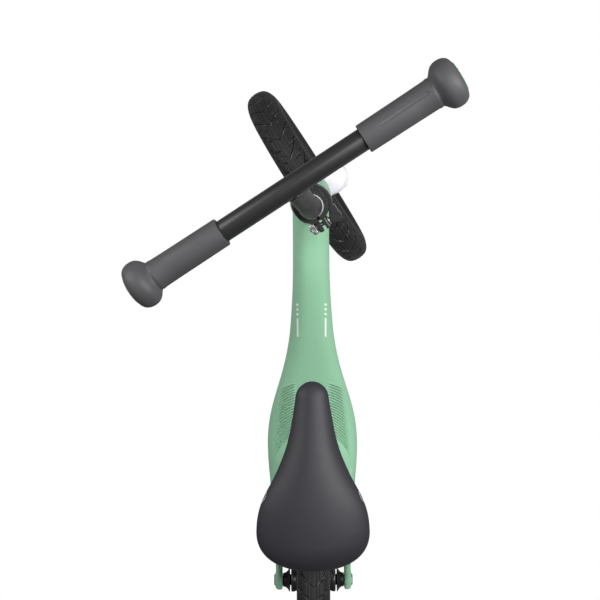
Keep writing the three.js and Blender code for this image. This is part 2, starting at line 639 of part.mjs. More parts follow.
/** A hexagon nut with a domed outer end, around its own Z. */
function nutGeometry(from, to) {
  const corner = nutAcrossFlats / Math.sqrt(3);
  const hexagon = turned([[0, from], [corner, from], [corner, to - 3], [corner - 1, to - 1.4],
    [corner - 3, to - 0.4], [0, to]], 6);
  return carve([hexagon], [rod(axleRadius + GAP, from - 1, to + 1, 16)]);
}

/** The washer-like spacer on an axle between a hub's end face and the part that holds the axle. */
function spacerGeometry(hubEnd, holder) {
  const bore = axleRadius + GAP;
  const tip = axleRadius + 3.3;
  return alongX(turned([[bore, hubEnd + GAP], [tip, hubEnd + GAP], [tip, hubEnd + 1.5],
    [flangeRadius, hubEnd + 2.1], [flangeRadius, hubEnd + 3.3], [tip + 2.2, holder - GAP],
    [bore, holder - GAP]]));
}

const rearNutFrom = dropoutInner + 7 + GAP;
const rearNutTo = rearNutFrom + rear.nutLength;
const rearAxleHalf = rearNutTo - 1;
addPiece(bike, 'rear_axle', alongX(softRod(axleRadius, -rearAxleHalf, rearAxleHalf, 0.8))
  .translate(0, 0, axleHeight), look.steel);
for (const [side, word] of [[-1, 'left'], [1, 'right']]) {
  const placed = (geometry) => geometry.scale(side, 1, 1).translate(0, 0, axleHeight);
  addPiece(bike, `rear_spacer_${word}`, placed(spacerGeometry(rear.hubHalf, dropoutInner)), look.plastic);
  addPiece(bike, `rear_axle_nut_${word}`, placed(alongX(nutGeometry(rearNutFrom, rearNutTo))), look.steel);
}

const onFrontAxle = (geometry) => geometry.translate(0, forkRake, 0);
const frontNutFrom = armOuter - 6 + GAP;
const frontNutTo = frontNutFrom + axleNut.length;
const innerNutFrom = front.hubHalf + 1.4;
const frontAxle = softRod(axleRadius, -innerNutFrom - 6, frontNutTo - 1, 0.8);
const innerNut = nutGeometry(innerNutFrom, innerNutFrom + axleNut.length).scale(1, 1, -1);
addPiece(turnedFront, 'front_axle', onFrontAxle(alongX(frontAxle)), look.steel);
const outerNut = nutGeometry(frontNutFrom, frontNutTo);
addPiece(turnedFront, 'front_axle_nut_right', onFrontAxle(alongX(outerNut)), look.steel);
addPiece(turnedFront, 'front_axle_nut_left', onFrontAxle(alongX(innerNut)), look.steel);
addPiece(turnedFront, 'front_spacer', onFrontAxle(spacerGeometry(front.hubHalf, armInner)), look.plastic);

// ---------------------------------------------------------------- seat post and saddle

addPiece(seatGroup, 'seat_tube_sleeve', ring(sleeveInner, sleeveOuter, -6, seatTube.top + 1.5), look.plastic);
addPiece(seatGroup, 'seat_post', ring(seatPost.radius - seatPost.wall, seatPost.radius,
  seatPost.top - seatPost.length, seatPost.top), look.steel);

/** The saddle's half width at a share of its length. */
function halfWidthAt(share) {
  const last = saddleOutline.length - 1;
  const next = Math.min(Math.max(saddleOutline.findIndex(([at]) => at >= share), 1), last);
  const [a, wa] = saddleOutline[next - 1];
  const [b, wb] = saddleOutline[next];
  return wa + ((wb - wa) * (share - a)) / (b - a);
}

const postTop = {
  y: seatFoot.y - seatPost.top * Math.sin(seatTube.tilt),
  z: seatFoot.z + seatPost.top * Math.cos(seatTube.tilt),
};
const saddleRear = postTop.y - saddle.behindPost;
const saddleLow = postTop.z + saddle.abovePost;
const saddleLength = saddle.behindPost + saddle.aheadOfPost;
const saddleShares = [0.004, 0.02, 0.06, 0.12, 0.2, 0.3, 0.4, 0.5, 0.6, 0.7, 0.8, 0.9, 0.96, 0.99];

/** A crowned pad or its shell between two heights that share one outline. */
function saddleLoft(from, heightAt, inset, power) {
  const rings = saddleShares.map((share) => superRing(14, power, (u, v) => {
    const half = Math.max(halfWidthAt(share) - inset, 1.5);
    const top = heightAt(share);
    const height = from + ((v + 1) / 2) * (top - from);
    return new THREE.Vector3(u * half, saddleRear + share * saddleLength, height);
  }));
  return loft(rings);
}

/** The pad's top: highest over the wide rear half and lower towards the nose. */
function padTop(share) {
  const crest = Math.sin(Math.PI * Math.min(share * 0.9 + 0.22, 1));
  return padFloor + saddle.coverHeight * (0.55 + 0.45 * crest);
}

const padFloor = saddleLow + saddle.baseHeight + GAP;
addPiece(bike, 'saddle_cover', saddleLoft(padFloor, padTop, 0, 3.2), look.plum);

const postSocket = toFrame(seatGroup, rod(seatPost.radius + GAP, seatPost.top - 60, seatPost.top + GAP));
const clampBlock = toFrame(seatGroup, rod(seatPost.radius + 6, seatPost.top - 16, seatPost.top + 6));
const abovePad = block(300, 2 * saddleLength, 80, 0, saddleRear + saddleLength / 2, padFloor - GAP + 40);
const boltMiddle = seatFoot.y - (seatPost.top + 4) * Math.sin(seatTube.tilt);
const boltPlaces = [['front', boltMiddle + saddleBolt.spread], ['rear', boltMiddle - saddleBolt.spread]];
const boltHoles = boltPlaces.map(([, y]) => (
  rod(saddleBolt.radius + GAP, saddleLow - 8, saddleLow + saddleBolt.depth + 1, 16).translate(0, y, 0)));
const basePan = saddleLoft(saddleLow, () => saddleLow + saddle.baseHeight, 5, 4);
addPiece(bike, 'saddle_base',
  carve([basePan, clampBlock], [postSocket, abovePad, ...boltHoles]), look.plastic);

for (const [word, y] of boltPlaces) {
  const under = saddleLow - GAP;
  const bolt = turned([[0, under - saddleBolt.headHeight],
    [saddleBolt.headRadius, under - saddleBolt.headHeight], [saddleBolt.headRadius, under],
    [saddleBolt.radius, under], [saddleBolt.radius, saddleLow + saddleBolt.depth],
    [0, saddleLow + saddleBolt.depth]], 16);
  addPiece(bike, `saddle_bolt_${word}`, bolt.translate(0, y, 0), look.steel);
}

export default bike;
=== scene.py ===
"""A child's balance bike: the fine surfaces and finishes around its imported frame.

Sizes are in millimetres in each sub-assembly's own place, and every finished mesh is in metres in the
frame of the bike: +Y forward, +X to the rider's right, +Z up.
"""

import json
import logging
import math
from dataclasses import dataclass
from enum import Enum
from typing import Iterable, Sequence

import bpy
import numpy as np
from mathutils import Matrix, Vector, noise


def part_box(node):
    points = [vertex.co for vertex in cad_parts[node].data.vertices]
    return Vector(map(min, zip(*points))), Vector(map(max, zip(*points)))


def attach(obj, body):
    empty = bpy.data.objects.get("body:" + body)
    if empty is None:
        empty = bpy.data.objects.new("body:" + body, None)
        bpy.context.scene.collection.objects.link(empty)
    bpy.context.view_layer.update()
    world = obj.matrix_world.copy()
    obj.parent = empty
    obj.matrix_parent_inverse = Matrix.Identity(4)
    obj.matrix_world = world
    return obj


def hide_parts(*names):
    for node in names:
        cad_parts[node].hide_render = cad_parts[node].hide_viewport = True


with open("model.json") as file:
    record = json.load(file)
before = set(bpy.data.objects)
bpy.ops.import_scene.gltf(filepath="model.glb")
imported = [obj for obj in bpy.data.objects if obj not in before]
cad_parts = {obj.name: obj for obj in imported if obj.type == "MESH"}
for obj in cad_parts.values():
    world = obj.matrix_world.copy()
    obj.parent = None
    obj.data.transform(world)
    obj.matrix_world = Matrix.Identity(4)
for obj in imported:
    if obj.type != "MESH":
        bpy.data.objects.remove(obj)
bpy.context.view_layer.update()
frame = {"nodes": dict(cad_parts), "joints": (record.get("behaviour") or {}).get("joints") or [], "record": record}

MM = 0.001
ROUND = 96
FINE_ROUND = 160
SMALL_ROUND = 48
GAP = 0.3  # clearance between two pieces
FORK_RAKE = 7.0  # the front axle ahead of the steering axis
SEAT_CLAMP_MIDDLE = 64.0  # up the seat tube
SEAT_BOLT_OUT = 26.6  # from the seat tube's middle
AXLE_HOLE = 5.0
NUT_WELL = 9.9
ARCH_LEAN = 0.85  # how far a tread arch falls back for each millimetre from the middle
ARCH_BEND = 0.0145  # how much more it falls back further out
LOG = logging.getLogger("balance_bike")

Point = tuple[float, float]


# ------------------------------------------------------------------ places


class Places:
    """The sub-assemblies' own places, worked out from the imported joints."""

    def __init__(self, joints: Sequence[dict]) -> None:
        """Find the axes of the steering, the wheels and the seat.

        Args:
            joints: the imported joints.
        """
        by_name = {joint["name"]: joint for joint in joints}
        self.bike = Matrix.Scale(MM, 4)
        steer = Vector(by_name["steering"]["axis"]).normalized()
        across = Vector(by_name["front_wheel_spin"]["axis"]).normalized()
        ahead = steer.cross(across).normalized()
        axle = Vector(by_name["front_wheel_spin"]["pos_m"])
        foot = axle - ahead * FORK_RAKE * MM
        self.front = self._from_axes(foot, across, ahead, steer)
        right = Vector((1, 0, 0))
        self.head = self._from_axes(foot, right, steer.cross(right), steer)
        lever = by_name["seat_clamp_lever_swing"]
        tube = Vector(lever["axis"]).normalized()
        self.front_wheel = self._from_axes(axle, across, ahead, steer)
        spin = Vector(by_name["rear_wheel_spin"]["pos_m"])
        self.rear_wheel = self._from_axes(spin, right, Vector((0, 1, 0)), Vector((0, 0, 1)))
        pivot = Vector(lever["pos_m"])
        back = tube.cross(right)
        base = Vector((0, pivot.y, pivot.z)) + back * SEAT_BOLT_OUT * MM - tube * SEAT_CLAMP_MIDDLE * MM
        self.seat = self._from_axes(base, right, back, tube)

    @staticmethod
    def _from_axes(origin: Vector, x: Vector, y: Vector, z: Vector) -> Matrix:
        """A matrix from millimetres along three axes to metres in the bike's frame."""
        turn = Matrix((x, y, z)).transposed().to_4x4()
        return Matrix.Translation(origin) @ turn @ Matrix.Scale(MM, 4)


def outward(side: int) -> Matrix:
    """Lay a Z-axis shape along X, its far end to the right for 1 and to the left for -1."""
    return Matrix.Rotation(math.radians(90 * side), 4, "Y")


def moved(x: float = 0, y: float = 0, z: float = 0) -> Matrix:
    """A plain move in millimetres."""
    return Matrix.Translation((x, y, z))


# ------------------------------------------------------------------ modelling by operators


def deselect() -> None:
    """Leave object mode ready, with nothing selected."""
    if bpy.context.object and bpy.context.object.mode != "OBJECT":
        bpy.ops.object.mode_set(mode="OBJECT")
    bpy.ops.object.select_all(action="DESELECT")


def choose(*pieces: bpy.types.Object) -> bpy.types.Object:
    """Select these pieces alone, the first one active.

    Args:
        pieces: what to select.

    Returns:
        The active piece.
    """
    deselect()
    for piece in pieces:
        piece.select_set(True)
    bpy.context.view_layer.objects.active = pieces[0]
    return pieces[0]


def tidy(piece: bpy.types.Object, weld: float = 1e-3) -> bpy.types.Object:
    """Merge doubled points and turn every face outwards.

    Args:
        piece: a closed mesh.
        weld: points nearer than this are one.

    Returns:
        The same piece.
    """
    choose(piece)
    bpy.ops.object.mode_set(mode="EDIT")
    bpy.ops.mesh.select_all(action="SELECT")
    bpy.ops.mesh.remove_doubles(threshold=weld)
    bpy.ops.mesh.normals_make_consistent(inside=False)
    bpy.ops.object.mode_set(mode="OBJECT")
    return piece


def turned(name: str, profile: Sequence[Point], sides: int = ROUND, hollow: bool = False) -> bpy.types.Object:
    """A lathe-turned piece: a circle pulled along a profile of radius and height.

    Args:
        name: the piece's name.
        profile: radius and height of each step, from one flat end to the other.
        sides: how many sides the round has.
        hollow: the last step returns to the first.

    Returns:
        The new piece.
    """
    deselect()
    radius, height = profile[0]
    fill = "NOTHING" if hollow else "NGON"
    bpy.ops.mesh.primitive_circle_add(vertices=sides, radius=radius, fill_type=fill)
    piece = bpy.context.object
    piece.name = name
    bpy.ops.object.mode_set(mode="EDIT")
    bpy.ops.mesh.select_mode(type="VERT")
    bpy.ops.mesh.select_all(action="SELECT")
    bpy.ops.transform.translate(value=(0, 0, height))
    if not hollow:
        bpy.ops.mesh.duplicate()
        bpy.ops.mesh.delete(type="ONLY_FACE")
        bpy.ops.mesh.select_all(action="DESELECT")
        bpy.ops.mesh.select_non_manifold(extend=False, use_wire=True, use_boundary=False)
    steps = [*profile[1:], profile[0]] if hollow else profile[1:]
    for next_radius, next_height in steps:
        bpy.ops.mesh.extrude_region_move(TRANSFORM_OT_translate={"value": (0, 0, next_height - height)})
        if abs(next_radius - radius) > 1e-9:
            share = max(next_radius, 1e-4) / radius
            bpy.ops.transform.resize(value=(share, share, 1), center_override=(0, 0, next_height))
        radius, height = max(next_radius, 1e-4), next_height
    if not hollow:
        bpy.ops.mesh.edge_face_add()
    bpy.ops.object.mode_set(mode="OBJECT")
    return tidy(piece)


def soften(piece: bpy.types.Object, width: float, segments: int = 2, angle: float = 35) -> bpy.types.Object:
    """Round every edge that is sharper than an angle.

    Args:
        piece: a closed mesh.
        width: the size of the rounding.
        segments: steps across the rounding.
        angle: degrees.

    Returns:
        The same piece.
    """
    choose(piece)
    bevel = piece.modifiers.new("soft edges", "BEVEL")
    bevel.width = width
    bevel.segments = segments
    bevel.limit_method = "ANGLE"
    bevel.angle_limit = math.radians(angle)
    bevel.miter_outer = "MITER_ARC"
    bpy.ops.object.modifier_apply(modifier=bevel.name)
    return piece


def block(name: str, size: Sequence[float], middle: Sequence[float]) -> bpy.types.Object:
    """A cube brought to a size and a place.

    Args:
        name: the piece's name.
        size: along X, Y and Z.
        middle: its middle.

    Returns:
        The new piece.
    """
    deselect()
    bpy.ops.mesh.primitive_cube_add(size=1)
    piece = bpy.context.object
    piece.name = name
    bpy.ops.object.mode_set(mode="EDIT")
    bpy.ops.transform.resize(value=tuple(size), center_override=(0, 0, 0))
    bpy.ops.transform.translate(value=tuple(middle))
    bpy.ops.object.mode_set(mode="OBJECT")
    return piece


def from_rings(name: str, rings: np.ndarray, close_ring: bool = True) -> bpy.types.Object:
    """Skin rings of points that all have the same number of points.

    Args:
        name: the piece's name.
        rings: an array of rings, points and XYZ.
        close_ring: the last ring joins the first, instead of both ends being capped.

    Returns:
        The new piece.
    """
    count, around = rings.shape[:2]
    last = count if close_ring else count - 1
    i, j = np.meshgrid(np.arange(last), np.arange(around), indexing="ij")
    i, j = i.ravel(), j.ravel()
    after, beside = (i + 1) % count, (j + 1) % around
    faces = np.stack([i * around + j, i * around + beside, after * around + beside, after * around + j], 1)
    faces = faces.tolist()
    if not close_ring:
        faces.append(list(range(around))[::-1])
        faces.append([(count - 1) * around + k for k in range(around)])
    mesh = bpy.data.meshes.new(name)
    mesh.from_pydata(rings.reshape(-1, 3).tolist(), [], faces)
    piece = bpy.data.objects.new(name, mesh)
    bpy.context.scene.collection.objects.link(piece)
    return tidy(piece)


def prism(name: str, outline: Sequence[Point], low: float, high: float) -> bpy.types.Object:
    """A flat outline pulled up along Z.

    Args:
        name: the piece's name.
        outline: its corners.
        low: height of the lower face.
        high: height of the upper face.

    Returns:
        The new piece.
    """
    mesh = bpy.data.meshes.new(name)
    mesh.from_pydata([(x, y, low) for x, y in outline], [], [list(range(len(outline)))])
    piece = bpy.data.objects.new(name, mesh)
    bpy.context.scene.collection.objects.link(piece)
    choose(piece)
    bpy.ops.object.mode_set(mode="EDIT")
    bpy.ops.mesh.select_all(action="SELECT")
    bpy.ops.mesh.extrude_region_move(TRANSFORM_OT_translate={"value": (0, 0, high - low)})
    bpy.ops.object.mode_set(mode="OBJECT")
    return tidy(piece)


def swept(name: str, path: Sequence[Sequence[float]], radius: float, resolution: int) -> bpy.types.Object:
    """A round bar along a smooth path, with flat ends.

    Args:
        name: the piece's name.
        path: the points of its middle line.
        radius: the bar's radius.
        resolution: quarter-turn steps of the section.

    Returns:
        The new piece.
    """
    curve = bpy.data.curves.new(name, "CURVE")
    curve.dimensions = "3D"
    curve.bevel_depth = radius
    curve.bevel_resolution = resolution
    curve.use_fill_caps = True
    spline = curve.splines.new("POLY")
    spline.points.add(len(path) - 1)
    for point, place in zip(spline.points, path):
        point.co = (*place, 1)
    piece = bpy.data.objects.new(name, curve)
    bpy.context.scene.collection.objects.link(piece)
    choose(piece)
    bpy.ops.object.convert(target="MESH")
    return tidy(bpy.context.object)


def shift(piece: bpy.types.Object, matrix: Matrix) -> bpy.types.Object:
    """Move a piece's own points and leave its object at the origin."""
    piece.data.transform(matrix)
    return piece


def joined(name: str, pieces: Iterable[bpy.types.Object]) -> bpy.types.Object:
    """Make several pieces one object."""
    pieces = list(pieces)
    active = choose(*pieces)
    if len(pieces) > 1:
        bpy.ops.object.join()
    active.name = name
    return active


def cut(piece: bpy.types.Object, tools: Sequence[bpy.types.Object]) -> bpy.types.Object:
    """Take closed tools away from a piece, one after the other.

    Args:
        piece: a closed mesh.
        tools: closed meshes, which are removed afterwards.

    Returns:
        The same piece.
    """
    for tool in tools:
        choose(piece)
        boolean = piece.modifiers.new("cut", "BOOLEAN")
        boolean.operation = "DIFFERENCE"
        boolean.solver = "EXACT"
        boolean.object = tool
        bpy.ops.object.modifier_apply(modifier=boolean.name)
        bpy.data.objects.remove(tool)
    return piece


def fused(piece: bpy.types.Object, voxel: float, smoothing: int) -> bpy.types.Object:
    """Melt overlapping solids into one skin with blended corners, as in a casting.

    Args:
        piece: overlapping closed meshes in one object.
        voxel: the size of the new faces.
        smoothing: how many times the skin is smoothed.

    Returns:
        The same piece.
    """
    choose(piece)
    remesh = piece.modifiers.new("one skin", "REMESH")
    remesh.mode = "VOXEL"
    remesh.voxel_size = voxel
    bpy.ops.object.modifier_apply(modifier=remesh.name)
    if smoothing:
        smooth = piece.modifiers.new("blend", "SMOOTH")
        smooth.factor = 0.5
        smooth.iterations = smoothing
        bpy.ops.object.modifier_apply(modifier=smooth.name)
    return piece


def super_ring(count: int, power: float | np.ndarray) -> tuple[np.ndarray, np.ndarray]:
    """A rounded square of radius 1: power 2 is a circle and higher powers are squarer."""
    angle = (np.arange(count) + 0.5) / count * 2 * math.pi

    def bent(value: np.ndarray) -> np.ndarray:
        """Square off a sine or cosine."""
        return np.sign(value) * np.abs(value) ** (2 / power)

    return bent(np.cos(angle)), bent(np.sin(angle))


def flowing(stations: Sequence[Sequence[float]], count: int) -> np.ndarray:
    """Run a smooth curve through every column of a list of stations.

    Args:
        stations: rows whose first number grows or falls all along.
        count: how many rows to make.

    Returns:
        The denser rows.
    """
    table = np.array(stations, float)
    if table[0, 0] > table[-1, 0]:
        table = table[::-1]
    at = table[:, 0]
    slope = np.gradient(table, at, axis=0)
    wanted = np.linspace(at[0], at[-1], count)
    k = np.clip(np.searchsorted(at, wanted, side="right") - 1, 0, len(at) - 2)
    span = (at[k + 1] - at[k])[:, None]
    t = ((wanted - at[k]) / span[:, 0])[:, None]
    a, b = table[k], table[k + 1]
    rows = (
        (2 * t**3 - 3 * t**2 + 1) * a
        + (t**3 - 2 * t**2 + t) * span * slope[k]
        + (3 * t**2 - 2 * t**3) * b
        + (t**3 - t**2) * span * slope[k + 1]
    )
    rows[:, 0] = wanted
    return rows


def smoothstep(value: np.ndarray, low: float, high: float) -> np.ndarray:
    """0 below low, 1 above high and smooth in between."""
    t = np.clip((value - low) / (high - low), 0, 1)
    return t * t * (3 - 2 * t)


def points_of(piece: bpy.types.Object) -> np.ndarray:
    """A mesh's points as an array."""
    found = np.zeros(len(piece.data.vertices) * 3)
    piece.data.vertices.foreach_get("co", found)
    return found.reshape(-1, 3)


def set_points(piece: bpy.types.Object, points: np.ndarray) -> None:
    """Put changed points back in a mesh."""
    piece.data.vertices.foreach_set("co", points.ravel())
    piece.data.update()


# ------------------------------------------------------------------ finishes


class Field:
    """A shader socket that takes part in arithmetic."""

    def __init__(self, tree: bpy.types.NodeTree, socket: bpy.types.NodeSocket) -> None:
        """Wrap a number socket of a tree."""
        self.tree, self.socket = tree, socket

    def _math(self, operation: str, first: object, second: object = None) -> "Field":
        """Add a Math node.

        Args:
            operation: the node's operation.
            first: a field or a number.
            second: a field or a number, where the operation takes two.

        Returns:
            The node's result.
        """
        node = self.tree.nodes.new("ShaderNodeMath")
        node.operation = operation
        for slot, value in enumerate(v for v in (first, second) if v is not None):
            if isinstance(value, Field):
                self.tree.links.new(value.socket, node.inputs[slot])
            else:
                node.inputs[slot].default_value = value
        return Field(self.tree, node.outputs[0])

    def __add__(self, other: object) -> "Field":
        """Sum."""
        return self._math("ADD", self, other)

    def __sub__(self, other: object) -> "Field":
        """Difference."""
        return self._math("SUBTRACT", self, other)

    def __rsub__(self, other: object) -> "Field":
        """A number less this."""
        return self._math("SUBTRACT", other, self)

    def __mul__(self, other: object) -> "Field":
        """Product."""
        return self._math("MULTIPLY", self, other)

    def __truediv__(self, other: object) -> "Field":
        """Quotient."""
        return self._math("DIVIDE", self, other)

    def __pow__(self, other: float) -> "Field":
        """Power."""
        return self._math("POWER", self, other)

    __radd__ = __add__
    __rmul__ = __mul__

    def size(self) -> "Field":
        """Absolute value."""
        return self._math("ABSOLUTE", self)

    def fraction(self) -> "Field":
        """What is left above the whole number."""
        return self._math("FRACT", self)

    def root(self) -> "Field":
        """Square root."""
        return self._math("SQRT", self)

    def at_least(self, floor: float) -> "Field":
        """The greater of this and a number."""
        return self._math("MAXIMUM", self, floor)

    def at_most(self, other: object) -> "Field":
        """The smaller of this and another."""
        return self._math("MINIMUM", self, other)

    def clamped(self) -> "Field":
        """Held between 0 and 1."""
        return self.at_least(0.0).at_most(1.0)


class Graph:
    """One material's nodes."""

    def __init__(self, name: str) -> None:
        """Start a material with its surface shader."""
        self.material = bpy.data.materials.new(name)
        self.material.use_nodes = True
        self.tree = self.material.node_tree
        self.tree.nodes.clear()
        self.shader = self.tree.nodes.new("ShaderNodeBsdfPrincipled")
        self.output = self.tree.nodes.new("ShaderNodeOutputMaterial")
        self.tree.links.new(self.shader.outputs[0], self.output.inputs["Surface"])

    def node(self, kind: str, settings: dict | None = None, **inputs: object) -> bpy.types.Node:
        """Add any node.

        Args:
            kind: the node's type, without its prefix.
            settings: the node's own settings, set first.
            inputs: values or links for its sockets, with _ for a space.

        Returns:
            The new node.
        """
        made = self.tree.nodes.new(f"ShaderNode{kind}")
        for key, value in (settings or {}).items():
            setattr(made, key, value)
        for key, value in inputs.items():
            socket = made.inputs[key.replace("_", " ")]
            if isinstance(value, Field):
                self.tree.links.new(value.socket, socket)
            elif isinstance(value, bpy.types.NodeSocket):
                self.tree.links.new(value, socket)
            else:
                socket.default_value = value
        return made

    def field(self, socket: bpy.types.NodeSocket) -> Field:
        """Wrap one of this tree's sockets."""
        return Field(self.tree, socket)

    def place(self) -> bpy.types.NodeSocket:
        """The surface point in the bike's frame, in metres."""
        return self.node("TexCoord").outputs["Object"]

    def noise(self, scale: float, detail: float = 2.0, stretch: Sequence[float] | None = None) -> Field:
        """Soft random variation.

        Args:
            scale: features per metre.
            detail: how many finer layers it has.
            stretch: a scale for each axis.

        Returns:
            A field between 0 and 1.
        """
        place = self.place()
        if stretch:
            place = self.node("Mapping", Vector=place, Scale=tuple(stretch)).outputs[0]
        made = self.node("TexNoise", Vector=place, Scale=scale, Detail=detail)
        return self.field(made.outputs["Fac"])

    def cells(self, scale: float) -> Field:
        """Distance from the middle of random cells."""
        made = self.node("TexVoronoi", Vector=self.place(), Scale=scale)
        return self.field(made.outputs["Distance"])

    def edges(self) -> Field:
        """1 on a sharp outer edge and 0 on open surface."""
        pointed = self.field(self.node("NewGeometry").outputs["Pointiness"])
        return ((pointed - 0.52) * 9.0).clamped()

    def blend(self, amount: Field, a: Sequence[float], b: object) -> bpy.types.NodeSocket:
        """Mix two colours.

        Args:
            amount: the share of the second.
            a: a colour or a link.
            b: a colour or a link.

        Returns:
            The mixed colour.
        """
        mix = self.tree.nodes.new("ShaderNodeMix")
        mix.data_type = "RGBA"
        self.tree.links.new(amount.socket, mix.inputs[0])
        for socket, value in ((mix.inputs[6], a), (mix.inputs[7], b)):
            if isinstance(value, bpy.types.NodeSocket):
                self.tree.links.new(value, socket)
            else:
                socket.default_value = (*value, 1)
        return mix.outputs[2]

    def set(self, **inputs: object) -> None:
        """Set or link the surface shader's sockets, with _ for a space."""
        for key, value in inputs.items():
            socket = self.shader.inputs[key.replace("_", " ")]
            if isinstance(value, Field):
                self.tree.links.new(value.socket, socket)
            elif isinstance(value, bpy.types.NodeSocket):
                self.tree.links.new(value, socket)
            else:
                socket.default_value = value

    def relief(self, height: Field, depth: float) -> None:
        """Raise the surface by a height field, on top of any relief that it has.

        Args:
            height: 0 to 1.
            depth: metres.
        """
        bump = self.node("Bump", Height=height, Distance=depth, Strength=1.0)
        for link in self.shader.inputs["Normal"].links:
            self.tree.links.new(link.from_socket, bump.inputs["Normal"])
        self.set(Normal=bump.outputs[0])


Colour = tuple[float, float, float]


class Grain(Enum):
    """What the fine surface of a finish is like."""

    POWDER = "powder coat"
    BRUSHED = "turned metal"
    RUBBER = "moulded rubber"
    SKIN = "synthetic leather"


@dataclass(frozen=True)
class Finish:
    """One finish, built once as a material.

    Attributes:
        slot: the record's material slot.
        colour: linear base colour.
        edge_wear_and_highlight: the paler colour that sharp edges go to, partly wear and partly a painted edge
            highlight.
        grain: the fine surface.
        roughness: the middle roughness.
        uneven: how far roughness goes either way.
        relief: height of the grain, in metres.
        metallic: 0 or 1.
        coat: clear coat weight.
        sheen: weight of the soft reflection at glancing angles.
        specular: strength of the reflection.
        mottle: how far the colour varies.
    """

    slot: str
    colour: Colour
    edge_wear_and_highlight: Colour
    grain: Grain
    roughness: float
    uneven: float = 0.06
    relief: float = 0.00002
    metallic: float = 0.0
    coat: float = 0.0
    sheen: float = 0.0
    specular: float = 0.5
    mottle: float = 0.06

    def height(self, graph: Graph) -> Field:
        """The grain's height, from 0 to 1."""
        if self.grain is Grain.POWDER:
            return graph.noise(1500, 2.0) * 0.75 + graph.noise(260, 2.0) * 0.25
        if self.grain is Grain.BRUSHED:
            return graph.noise(700, 3.0, (1.0, 0.16, 1.0))
        if self.grain is Grain.RUBBER:
            return graph.noise(1900, 3.0) * 0.6 + graph.cells(1300) * 0.4
        return graph.cells(620) ** 0.8 * 0.7 + graph.noise(2400, 2.0) * 0.3

    def build(self) -> Graph:
        """Make the material.

        Returns:
            Its graph, which a piece may add to.
        """
        graph = Graph(self.slot)
        broad = graph.noise(14, 3.0)
        fine = graph.noise(160, 4.0)
        dark = tuple(channel * (1 - self.mottle) for channel in self.colour)
        light = tuple(min(channel * (1 + self.mottle), 1) for channel in self.colour)
        body = graph.blend((broad * 0.6 + fine * 0.4), dark, light)
        # Sharp edges go paler: partly wear, partly a painted highlight where edges catch the light.
        body = graph.blend(graph.edges() * 0.5, body, self.edge_wear_and_highlight)
        graph.set(
            Base_Color=body,
            Roughness=(broad * self.uneven + fine * self.uneven + (self.roughness - self.uneven)).clamped(),
            Metallic=self.metallic,
            Coat_Weight=self.coat,
            Coat_Roughness=0.3,
            Sheen_Weight=self.sheen,
            Sheen_Roughness=0.5,
            Specular_IOR_Level=self.specular,
        )
        graph.relief(self.height(graph), self.relief)
        return graph


@dataclass(frozen=True)
class NeckMark:
    """A plain printed mark on each flank of the neck: a dash and three dots.

    Attributes:
        out: from the middle of the bike, in metres.
        start: where the dash begins.
        length: the dash's length.
        half: the dash's half width.
        dots: how many dots follow.
        pitch: from dot to dot.
        colour: of the print.
    """

    out: float = 0.0185
    start: float = 0.352
    length: float = 0.022
    half: float = 0.0012
    dots: int = 3
    pitch: float = 0.006
    colour: Colour = (0.82, 0.84, 0.82)

    def ink(self, graph: Graph) -> Field:
        """1 inside the mark and 0 outside it."""
        place = graph.node("SeparateXYZ", Vector=graph.place())
        x, y, z = (graph.field(socket) for socket in place.outputs)
        across = x.size() - self.out
        along = ((y - (self.start + self.length / 2)).size() - self.length / 2).at_least(0.0)
        near = (across * across + along * along).root()
        for k in range(self.dots):
            step = y - (self.start + self.length + self.pitch * (k + 1))
            near = near.at_most((across * across + step * step).root() - self.half * 0.35)
        upper = ((z - 0.29) * 400).clamped()
        return ((self.half - near) * 4000).clamped() * upper


@dataclass(frozen=True)
class FootArcs:
    """Nested stepped arcs on both foot rests, as relief.

    Attributes:
        front: middle and radius of the first arc, in millimetres.
        back: middle and radius of the last.
        count: how many arcs there are.
        rise: the share of a step that climbs.
        depth: metres.
    """

    front: Point = (210.9, 83.0)
    back: Point = (169.2, 53.7)
    count: int = 20
    rise: float = 0.35
    depth: float = 0.0011

    def height(self, graph: Graph) -> Field:
        """0 to 1 up each step, inside the foot rests only."""
        place = graph.node("SeparateXYZ", Vector=graph.place())
        x, y, z = (graph.field(socket) * 1000.0 for socket in place.outputs)
        dc, dr = self.back[0] - self.front[0], self.back[1] - self.front[1]
        a = dc * dc - dr * dr
        ahead, out = y - self.front[0], x.size()
        b = ahead * (-2 * dc) - 2 * self.front[1] * dr
        c = x * x + ahead * ahead - self.front[1] ** 2
        share = ((b * b - c * (4 * a)).at_least(0.0).root() - b) / (2 * a)
        step = (share * self.count).fraction()
        saw = (step / self.rise).at_most((1.0 - step) / (1 - self.rise))
        limit = 54.0 - (y - 200.0).at_least(0.0) * 0.12
        inside = ((out - 21.0) / 5.0).clamped() * ((limit - out) / 6.0).clamped()
        inside = inside * ((share - 0.002) * 60.0).clamped() * ((0.985 - share) * 40.0).clamped()
        return saw * inside * ((z - 205.0) / 8.0).clamped()


@dataclass(frozen=True)
class SaddleMark:
    """A plain oval outline printed on each flank of the saddle.

    Attributes:
        place: its middle along and up, in metres.
        half: its half length and half height.
        line: the outline's share of its size.
        colour: of the print.
    """

    place: Point = (0.1465, 0.3765)
    half: Point = (0.0085, 0.0056)
    line: float = 0.08
    colour: Colour = (0.70, 0.70, 0.70)

    def ink(self, graph: Graph) -> Field:
        """1 on the outline and 0 elsewhere."""
        place = graph.node("SeparateXYZ", Vector=graph.place())
        x, y, z = (graph.field(socket) for socket in place.outputs)
        along, up = (y - self.place[0]) / self.half[0], (z - self.place[1]) / self.half[1]
        ring = ((along * along + up * up).root() - 1.0).size()
        return ((self.line - ring) * 14.0).clamped() * ((x.size() - 0.04) * 900.0).clamped()


